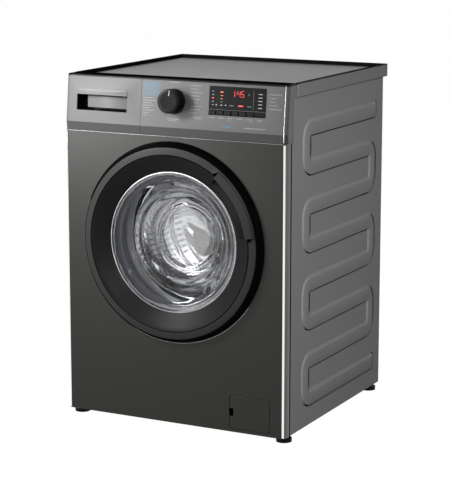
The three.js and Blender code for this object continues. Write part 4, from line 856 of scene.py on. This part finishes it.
def rim_painted_shade(material):
    """Painted shade: dark over the rim's top and all inside its side strips, black along its front strip."""
    tree = material.node_tree
    x, y, z = object_parts(tree)
    aside = reckoned(tree, "ABSOLUTE", x)
    high = step_between(tree, z, frame_top_z - 0.0026, frame_top_z - 0.0018)
    before_rear = step_between(tree, y, board_high.y + 0.0085, board_high.y + 0.0075)
    between_sides = step_between(tree, aside, board_high.x + 0.0085, board_high.x + 0.0075)
    # painted shade over the rim's top and on its inner faces
    blended(material, high, 66)
    blended(material, reckoned(tree, "MULTIPLY", before_rear, between_sides), 14)
    # painted shade: black along the front strip
    at_front = step_between(tree, y, board_low.y + 0.0010, board_low.y)
    blended(material, reckoned(tree, "MULTIPLY", at_front, high), 6)


board_low, board_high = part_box("worktop_board")
frame_top_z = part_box("worktop_frame")[1].z
rim_painted_shade(frame_grey)
softened("worktop_frame", "cabinet", frame_grey, width=0.0016, segments=3)
softened("worktop_board", "cabinet", board_grey, width=0.0006)


def front_shadow_bead():
    """A flat near black bead on the fascia's top edge, painted shadow in the joint: its section
    (distance in, height) carried round the leaning face's plan line from cheek to cheek."""
    start_y, end_y = face_y + 0.012, face_y + 0.055
    corner = arc((fascia_half - fascia_bend, start_y + fascia_bend), fascia_bend, -90, 0, 10)
    right = np.vstack([corner, [(fascia_half, end_y)]])
    path = np.vstack([right[::-1] * (-1, 1), right])
    top = frame_top_z - 0.0003
    section = np.array([(0.0002, top - 0.0014), (0.0002, top - 0.0006), (0.0008, top), (0.0030, top),
                        (0.0036, top - 0.0006), (0.0036, top - 0.0014)])
    piece = sheet_of("front_shadow_bead", carried(path, -section[:, 0], section[:, 1]), joint_shadow_black,
                     closed=(True, False), smooth=50.0)
    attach(piece, "cabinet")


front_shadow_bead()
# painted highlight down the fascia's right bend
rise = np.array([(0.7178, 0.0), (band_top_z, 0.0), (0.8475, 0.8475 - band_top_z)]) * (1, fascia_slope)
corner_highlight(1, "fascia_highlight_right", rise, (fascia_half - fascia_bend, face_y + fascia_bend), fascia_bend,
            (22, 27))

# ---------------------------------------------------------------- display and buttons
# A smoked window flush in the fascia with lit marks behind it, six keys along its lower edge,
# and printed bars in place of words.
window_smoke = finish("window_smoke", (9, 10, 10), 0.30, variation=0.03, scale=1500.0, relief=0.03,
                      specular=0.08)
key_smoke = finish("key_smoke", (12, 13, 13), 0.34, variation=0.03, scale=1500.0, relief=0.05, specular=0.08)
softened("display_window", "cabinet", window_smoke, width=0.0005)
for i in range(1, 7):
    softened(f"button_{i}", f"button_{i}_body", key_smoke, width=0.0006)


def printed(name, marks, material, proud=0.0003):
    """Many small rounded bars (left, right, low, high) on the leaning face as one mesh; each is
    one face, its corners cut to a quarter circle of three points."""
    left, right, low, high = np.array(marks, float).T[..., None]
    radius = np.minimum(right - left, high - low) * 0.3
    turn = np.radians(np.array([-90, -45, 0, 0, 45, 90, 90, 135, 180, 180, 225, 270]))
    at_right = np.repeat([True, False], 6)
    at_top = np.repeat([False, True, False], (3, 6, 3))
    x = np.where(at_right, right - radius, left + radius) + radius * np.cos(turn)
    z = np.where(at_top, high - radius, low + radius) + radius * np.sin(turn)
    faces = np.arange(x.size).reshape(x.shape)
    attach(wall(piece_of(name, on_face(x, z, proud), faces, material), 0.00012), "cabinet")


def ink(name, level):
    """A matt print."""
    return finish(name, level, 0.5, variation=0.04, scale=2000.0, relief=0.02)


def lit(name, level, strength):
    """A mark that glows a little through the window."""
    made = ink(name, level)
    filled(made.node_tree, made.node_tree.nodes["Principled BSDF"],
           {"Emission Color": linear(level), "Emission Strength": strength})
    return made


def bars(left, right, rows, height, ragged=(0.0,)):
    """One bar a row; the ragged shares shorten them in turn."""
    return [(left, right - ragged[i % len(ragged)] * (right - left), z - height / 2, z + height / 2)
            for i, z in enumerate(rows)]


def boxes(half_width, low, high, *centres):
    """Bars of one size, side by side."""
    return [(x - half_width, x + half_width, low, high) for x in centres]


print_blue = ink("print_blue", (28, 66, 84))
print_pale = ink("print_pale", 93)
print_dim = ink("print_dim", 74)

# programme legends round the knob: a blue block at the upper left, grey rows below and right
on_surface = 0.00016
printed("legend_blue", bars(-0.0832, -0.0348, np.linspace(0.8398, 0.8096, 8), 0.0024,
                            (0.0, 0.10, 0.04, 0.02, 0.16, 0.08, 0.0, 0.22))
        + [(0.1300, 0.1560, 0.7445, 0.7478)], print_blue, on_surface)
printed("legend_grey", bars(-0.0815, -0.0420, np.linspace(0.8030, 0.7620, 8), 0.0016,
                            (0.30, 0.10, 0.42, 0.25, 0.50, 0.20, 0.55, 0.66))
        + bars(0.0450, 0.0770, np.linspace(0.8370, 0.7740, 9), 0.0016,
               (0.10, 0.35, 0.0, 0.22, 0.12, 0.30, 0.05, 0.18, 0.40))
        + [(-0.012, 0.016, 0.8420, 0.8436), (-0.016, 0.018, 0.7556, 0.7572), (-0.010, 0.012, 0.7516, 0.7530),
           (0.0540, 0.0780, 0.7636, 0.7652), (0.0580, 0.0770, 0.7600, 0.7614)]
        + boxes(0.0075, 0.7654, 0.7670, 0.1040, 0.1290, 0.1500, 0.1760, 0.2020, 0.2280)
        + boxes(0.0040, 0.7616, 0.7628, 0.1500, 0.2050, 0.2280)
        + [(0.1900, 0.2440, 0.7452, 0.7472)]
        + bars(0.2500, 0.2840, np.linspace(0.8262, 0.7930, 5), 0.0018, (0.06, 0.44, 0.50, 0.34, 0.0)),
        print_pale, on_surface)

# lit marks: five rows at the left of the window and five at its right, three orange ones beside
# the left rows, and a line of symbols along the bottom
glow_red = lit("glow_red", (205, 40, 44), 0.45)
glow_orange = lit("glow_orange", (180, 92, 42), 0.25)
glow_white = lit("glow_white", (130, 132, 130), 0.10)
rows = np.linspace(0.8270, 0.7960, 5)
printed("marks_white", bars(0.1026, 0.1074, rows[[0, 1, 3, 4]], 0.0012)
        + [(0.1128, 0.1158, 0.7945, 0.7976), (0.1252, 0.1300, 0.7949, 0.7965),
           (0.1372, 0.1400, 0.7945, 0.7975)]
        + bars(0.2225, 0.2330, np.linspace(0.8252, 0.7938, 5), 0.0014), glow_white)
printed("marks_orange", [(0.1236, 0.1316, 0.8246, 0.8270), (0.1246, 0.1312, 0.8170, 0.8186),
                         (0.1246, 0.1306, 0.8098, 0.8112)], glow_orange)
printed("marks_dim", [(0.1246, 0.1306, 0.8026, 0.8040), (0.1480, 0.1600, 0.7950, 0.7966),
                      (0.1950, 0.2060, 0.7950, 0.7966), (0.1975, 0.1990, 0.8200, 0.8250),
                      (0.2098, 0.2104, 0.7880, 0.8370), (0.0955, 0.2425, 0.7848, 0.7853)], print_dim)
printed("marks_red", bars(0.1022, 0.1078, rows[2:3], 0.0020) + [(0.1712, 0.1838, 0.7948, 0.7974)], glow_red)


def digit_bars(left, shown):
    """Those bars of a seven-bar digit that are named by the letters in shown."""
    low, height, width, half_stroke = 0.8166, 0.0130, 0.0062, 0.0005
    middle, top = low + height / 2, low + height
    lines = {"a": (0, 1, top, top), "b": (1, 1, middle, top), "c": (1, 1, low, middle), "d": (0, 1, low, low),
             "f": (0, 0, middle, top), "g": (0, 1, middle, middle)}
    return [(left + start * width - half_stroke, left + end * width + half_stroke,
             bottom - half_stroke, head + half_stroke)
            for start, end, bottom, head in (lines[letter] for letter in shown)]


one, four, five = "bc", "bcfg", "acdfg"
printed("reading_red", digit_bars(0.1548, one) + digit_bars(0.1690, four) + digit_bars(0.1785, five)
        + [(0.1647, 0.1658, 0.8196, 0.8207), (0.1647, 0.1658, 0.8252, 0.8263)], glow_red)

# ---------------------------------------------------------------- programme knob
# A turned dark grey cap on a black ridged skirt, with one white pointer line.
knob_grey = finish("knob_grey", 6, 0.30, variation=0.03, scale=1500.0, relief=0.06, specular=0.06)
knob_black = finish("knob_black", 5, 0.24, variation=0.03, scale=1500.0, relief=0.06, specular=0.15)
knob_centre = on_face(0.003, 0.798)


def about_knob(radius, along, turn):
    """Polar points about the knob's axis; along is the distance out from the fascia."""
    outward = np.array([0.0, -math.cos(lean_angle), math.sin(lean_angle)])
    upward = np.array([0.0, math.sin(lean_angle), math.cos(lean_angle)])
    across = np.array([1.0, 0.0, 0.0])
    return (knob_centre + (radius * np.sin(turn))[..., None] * across
            + (radius * np.cos(turn))[..., None] * upward + (along * np.ones_like(turn))[..., None] * outward)


def knob_part(name, profile, turns, material, fluted=False):
    """A profile of radius and distance out, turned about the knob's axis; thirty six shallow
    flutes vary the radius along the skirt's side."""
    radius, along = np.array(profile).T[..., None]
    if fluted:
        on_side = (along > 0.002) & (along < 0.0262) & (radius > 0.02)
        radius = radius + on_side * flute_depth * (np.clip(np.cos(36 * turns) * 2.0, -1, 1) - 1)
    piece = sheet_of(name, about_knob(radius, along, turns), material, closed=(False, True), smooth=50.0)
    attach(welded(piece), "knob")
    return piece


flute_depth = 0.0012
fine_turns = np.radians(np.arange(0, 360, 360 / 216))
skirt = knob_part("program_knob", [
    (0.0001, 0.0008), (0.0290, 0.0008), (0.0300, 0.0014), (0.0300, 0.0030), (0.0296, 0.0120),
    (0.0292, 0.0250), (0.0290, 0.0266), (0.0286, 0.0272), (0.0001, 0.0272)], fine_turns, knob_black,
    fluted=True)
cap = knob_part("knob_cap", [
    (0.0001, 0.0266), (0.0284, 0.0266), (0.0290, 0.0272), (0.0290, 0.0298), (0.0287, 0.0305),
    (0.0280, 0.0308), (0.0200, 0.0306), (0.0001, 0.0305)], fine_turns[::2], knob_grey)
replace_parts(skirt, "program_knob")


def pointer():
    """A raised white line from near the cap's rim towards its middle."""
    half_width, turn = 0.0006, math.radians(4.0)
    length = np.linspace(0.0125, 0.0258, 9)[:, None]
    height = np.array([0.0300, 0.0309, 0.03105, 0.03105, 0.0309, 0.0300])[None]
    narrow = np.where((length == length.min()) | (length == length.max()), 0.6, 1.0)
    side = np.array([-1.0, -1.0, -0.6, 0.6, 1.0, 1.0])[None] * half_width * narrow
    points = about_knob(np.hypot(length, side), height, turn + np.arctan2(side, length))
    piece = sheet_of("knob_pointer", points[:, ::-1], finish("pointer_white", 190, 0.4, relief=0.02))
    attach(piece, "knob")


pointer()

# ---------------------------------------------------------------- door gasket
# A moulded rubber bellows from the panel's mouth to the tub: a flat lip that meets the glass,
# one deep fold, and a collar clamped round the tub's mouth.
gasket_rubber = finish("gasket_rubber", (13, 15, 20), 0.50, variation=0.03, scale=900.0, relief=0.01,
                       specular=0.12)
gasket = ring_piece("door_gasket", [
    (0.1494, 0.0180), (0.1498, 0.0172), (0.1506, 0.0170), (0.1570, 0.0174), (0.1640, 0.0180),
    (0.1735, 0.0170), (0.1752, 0.0172), (0.1760, 0.0184), (0.1760, 0.0300), (0.1768, 0.0316),
    (0.1826, 0.0348), (0.1838, 0.0366), (0.1838, 0.0450), (0.1828, 0.0464), (0.1684, 0.0536),
    (0.1671, 0.0550), (0.1671, 0.0634), (0.1666, 0.0639), (0.1642, 0.0639), (0.1637, 0.0634),
    (0.1637, 0.0520), (0.1648, 0.0504), (0.1796, 0.0436), (0.1804, 0.0424), (0.1804, 0.0394),
    (0.1796, 0.0380), (0.1738, 0.0350), (0.1727, 0.0338), (0.1727, 0.0216), (0.1718, 0.0206),
    (0.1504, 0.0205), (0.1496, 0.0200)], gasket_rubber, bowl_angles, smooth=70.0)
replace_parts(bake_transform(gasket), "door_gasket")

# ---------------------------------------------------------------- drum
# Rolled stainless steel: a perforated barrel with a rolled mouth, and a back stamped with a
# dome and three swept channels.
drum_steel = finish("drum_steel", 214, 0.12, variation=0.01, scale=2600.0, relief=0.01, metallic=1.0)
drum_radius = 0.2397
drum_front, drum_rear = (corner.y - face_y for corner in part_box("drum_shell"))
barrel_end = 0.0060                          # from the drum's ends to the perforated barrel
hole_radius = 0.0036


def barrel():
    """Cells round and along the barrel, each with a round hole: eight quads between the cell's
    edge and the hole's."""
    round_count, along_count = 96, 24
    turn_step = 2 * math.pi / round_count
    depth_step = (drum_rear - drum_front - 2 * barrel_end) / along_count
    turn = np.arange(8) * math.pi / 4
    circle = np.stack([np.cos(turn), np.sin(turn)], 1)
    edge = circle / np.abs(circle).max(axis=1)[:, None]
    cell = np.concatenate([edge * (turn_step / 2, depth_step / 2), hole_radius * circle / (drum_radius, 1.0)])
    i, j = np.meshgrid(np.arange(round_count), np.arange(along_count))
    centre = np.stack([i.ravel() * turn_step, drum_front + barrel_end + (j.ravel() + 0.5) * depth_step], 1)
    around, depth = np.moveaxis(centre[:, None] + cell[None], -1, 0)
    across, up = drum_radius * np.cos(around), drum_radius * np.sin(around)
    points = np.stack([across, face_y + depth, axis_z + up], -1)
    k = np.arange(8)
    quads = np.stack([k, (k + 1) % 8, 8 + (k + 1) % 8, 8 + k], 1)
    faces = (np.arange(len(centre))[:, None, None] * 16 + quads[None]).reshape(-1, 4)
    return piece_of("barrel", points, faces[:, ::-1], drum_steel)


def stamped_back(radius, depth, degrees):
    """The dome stands 34 mm forward by a smooth step of the radius, and three channels sweep
    out from it, 14 mm deep to each side of a middle level; both fade out at the edge."""
    share = np.clip(radius / 0.215, 0, 1)
    dome = 0.034 * (1 - eased(np.clip((radius - 0.050) / 0.085, 0, 1)))
    swirl = np.cos(3 * (np.radians(degrees) + 1.1 * share) + 0.6)
    inside_edge, outside_hub = np.clip((0.205 - radius) / 0.03, 0, 1), np.clip(radius / 0.03, 0, 1)
    channel = 0.014 * inside_edge * (np.clip(swirl * 1.6, -1, 1) * outside_hub - 1)
    on_back = (radius < 0.2155) & (depth > 0.3)
    return radius, np.where(on_back, depth - dome + channel, depth)


drum_angles = np.arange(0, 360, 360 / 192)
mouth = ring_piece("mouth", [
    (0.1548, drum_front + 0.0072), (0.1528, drum_front + 0.0060), (0.1523, drum_front + 0.0036),
    (0.1532, drum_front + 0.0014), (0.1556, drum_front + 0.0006), (0.1700, drum_front + 0.0010),
    (0.2100, drum_front + 0.0012), (0.2330, drum_front + 0.0006), (0.2370, drum_front + 0.0012),
    (0.2392, drum_front + 0.0034), (drum_radius, drum_front + barrel_end)], drum_steel,
    drum_angles, closed_profile=False, smooth=60.0)
back = ring_piece("back", [
    (drum_radius, drum_rear - barrel_end), (0.2385, drum_rear - 0.0030), (0.2350, drum_rear - 0.0014),
    (0.2300, drum_rear - 0.0010), (0.2160, drum_rear - 0.0010)]
    + [(radius, drum_rear - 0.0012) for radius in np.linspace(0.2150, 0.0005, 60)], drum_steel,
    drum_angles, closed_profile=False, smooth=60.0, change=stamped_back)
drum_mesh = joined(bpy.data.meshes.new("drum_shell"), mouth, barrel(), back, weld=2e-5)
drum = wall(mesh_piece("drum_shell", drum_mesh, drum_steel), 0.0008, offset=1.0)
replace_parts(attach(drum, "drum"), "drum_shell")

lifter_grey = finish("lifter_grey", 188, 0.28, variation=0.03, scale=500.0, relief=0.06)
for i in range(1, 4):
    softened(f"drum_paddle_{i}", "drum", lifter_grey, width=0.0050, segments=4)

# ---------------------------------------------------------------- pump flap
# A moulded cover in the panel's own paint, with a finger notch at its left edge, made a little
# smaller than its solid so that the dark seam round it shows.
flap = softened("pump_flap", "flap", panel_paint, width=0.0006)
flap_low, flap_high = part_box("pump_flap")
flap_middle, flap_size = (flap_low + flap_high) / 2, flap_high - flap_low
flap_seam = 0.0012                           # how much less wide and high it is than its solid
flap.data.transform(Matrix.Translation(flap_middle)
                    @ Matrix.Diagonal((1 - flap_seam / flap_size.x, 1, 1 - flap_seam / flap_size.z, 1))
                    @ Matrix.Translation(-flap_middle))

# ---------------------------------------------------------------- feet
# Black throughout: a round pad, the hexagon that turns it, and a stud up into the base.
foot_black = finish("foot_black", 18, 0.45, variation=0.05, scale=900.0, relief=0.2, specular=0.06)
dress(foot_black, "front_left_foot", "front_right_foot", "rear_left_foot", "rear_right_foot")

# ---------------------------------------------------------------- inner parts and back
# What the covers hide: the tub's halves in filled grey plastic, cast and zinc-plated drive
# parts, rubber hoses and belt, and the concrete ballast.
tub_grey = finish("tub_grey", 176, 0.55, variation=0.06, scale=500.0, relief=0.2)
zinc = finish("zinc", 178, 0.36, variation=0.08, scale=160.0, relief=0.08, metallic=0.9)
cast = finish("cast", 158, 0.52, variation=0.08, scale=900.0, relief=0.5, metallic=0.85)
rubber = finish("rubber", 30, 0.6, variation=0.06, scale=700.0, relief=0.2)
dark_base = finish("dark_base", 44, 0.5, variation=0.05, scale=900.0, relief=0.15)
moulded_white = finish("moulded_white", 212, 0.42, variation=0.03, scale=900.0, relief=0.08)
dress(tub_grey, "tub_front", "tub_rear")
dress(zinc, "hinge_arm", "hinge_bracket", "latch_hook", "bearing_cartridge", "motor_pulley",
      "damper_rod_left", "damper_rod_right")
dress(cast, "drum_spider", "drum_pulley", "motor")
dress(rubber, "drive_belt")
dress(dark_base, "base_tray", "damper_tube_left", "damper_tube_right", "cable_gland")
dress(moulded_white, "door_lock", "inlet_valve", "drain_pump", "pump_filter")
dress(finish("board_green", (26, 84, 52), 0.35, variation=0.10, scale=260.0, relief=0.3), "control_board")
dress(finish("concrete", 142, 0.85, variation=0.16, scale=220.0, relief=1.0), "counterweight")
dress(finish("heater_steel", 170, 0.3, variation=0.06, scale=300.0, relief=0.08, metallic=1.0), "heater")
dress(finish("back_zinc", 160, 0.40, variation=0.10, scale=60.0, relief=0.08, metallic=0.85), "rear_panel")


def bent(node, material):
    """A flexible piece between the cabinet and the tub: a copy of its CAD mesh in one material,
    shown in place of the node."""
    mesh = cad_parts[node].data.copy()
    mesh.materials.clear()
    piece = mesh_piece(node + "_bent", mesh, material)
    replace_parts(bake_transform(piece), node)


bent("dispenser_hose", rubber)
bent("sump_hose", rubber)
bent("suspension_spring_left", zinc)
bent("suspension_spring_right", zinc)
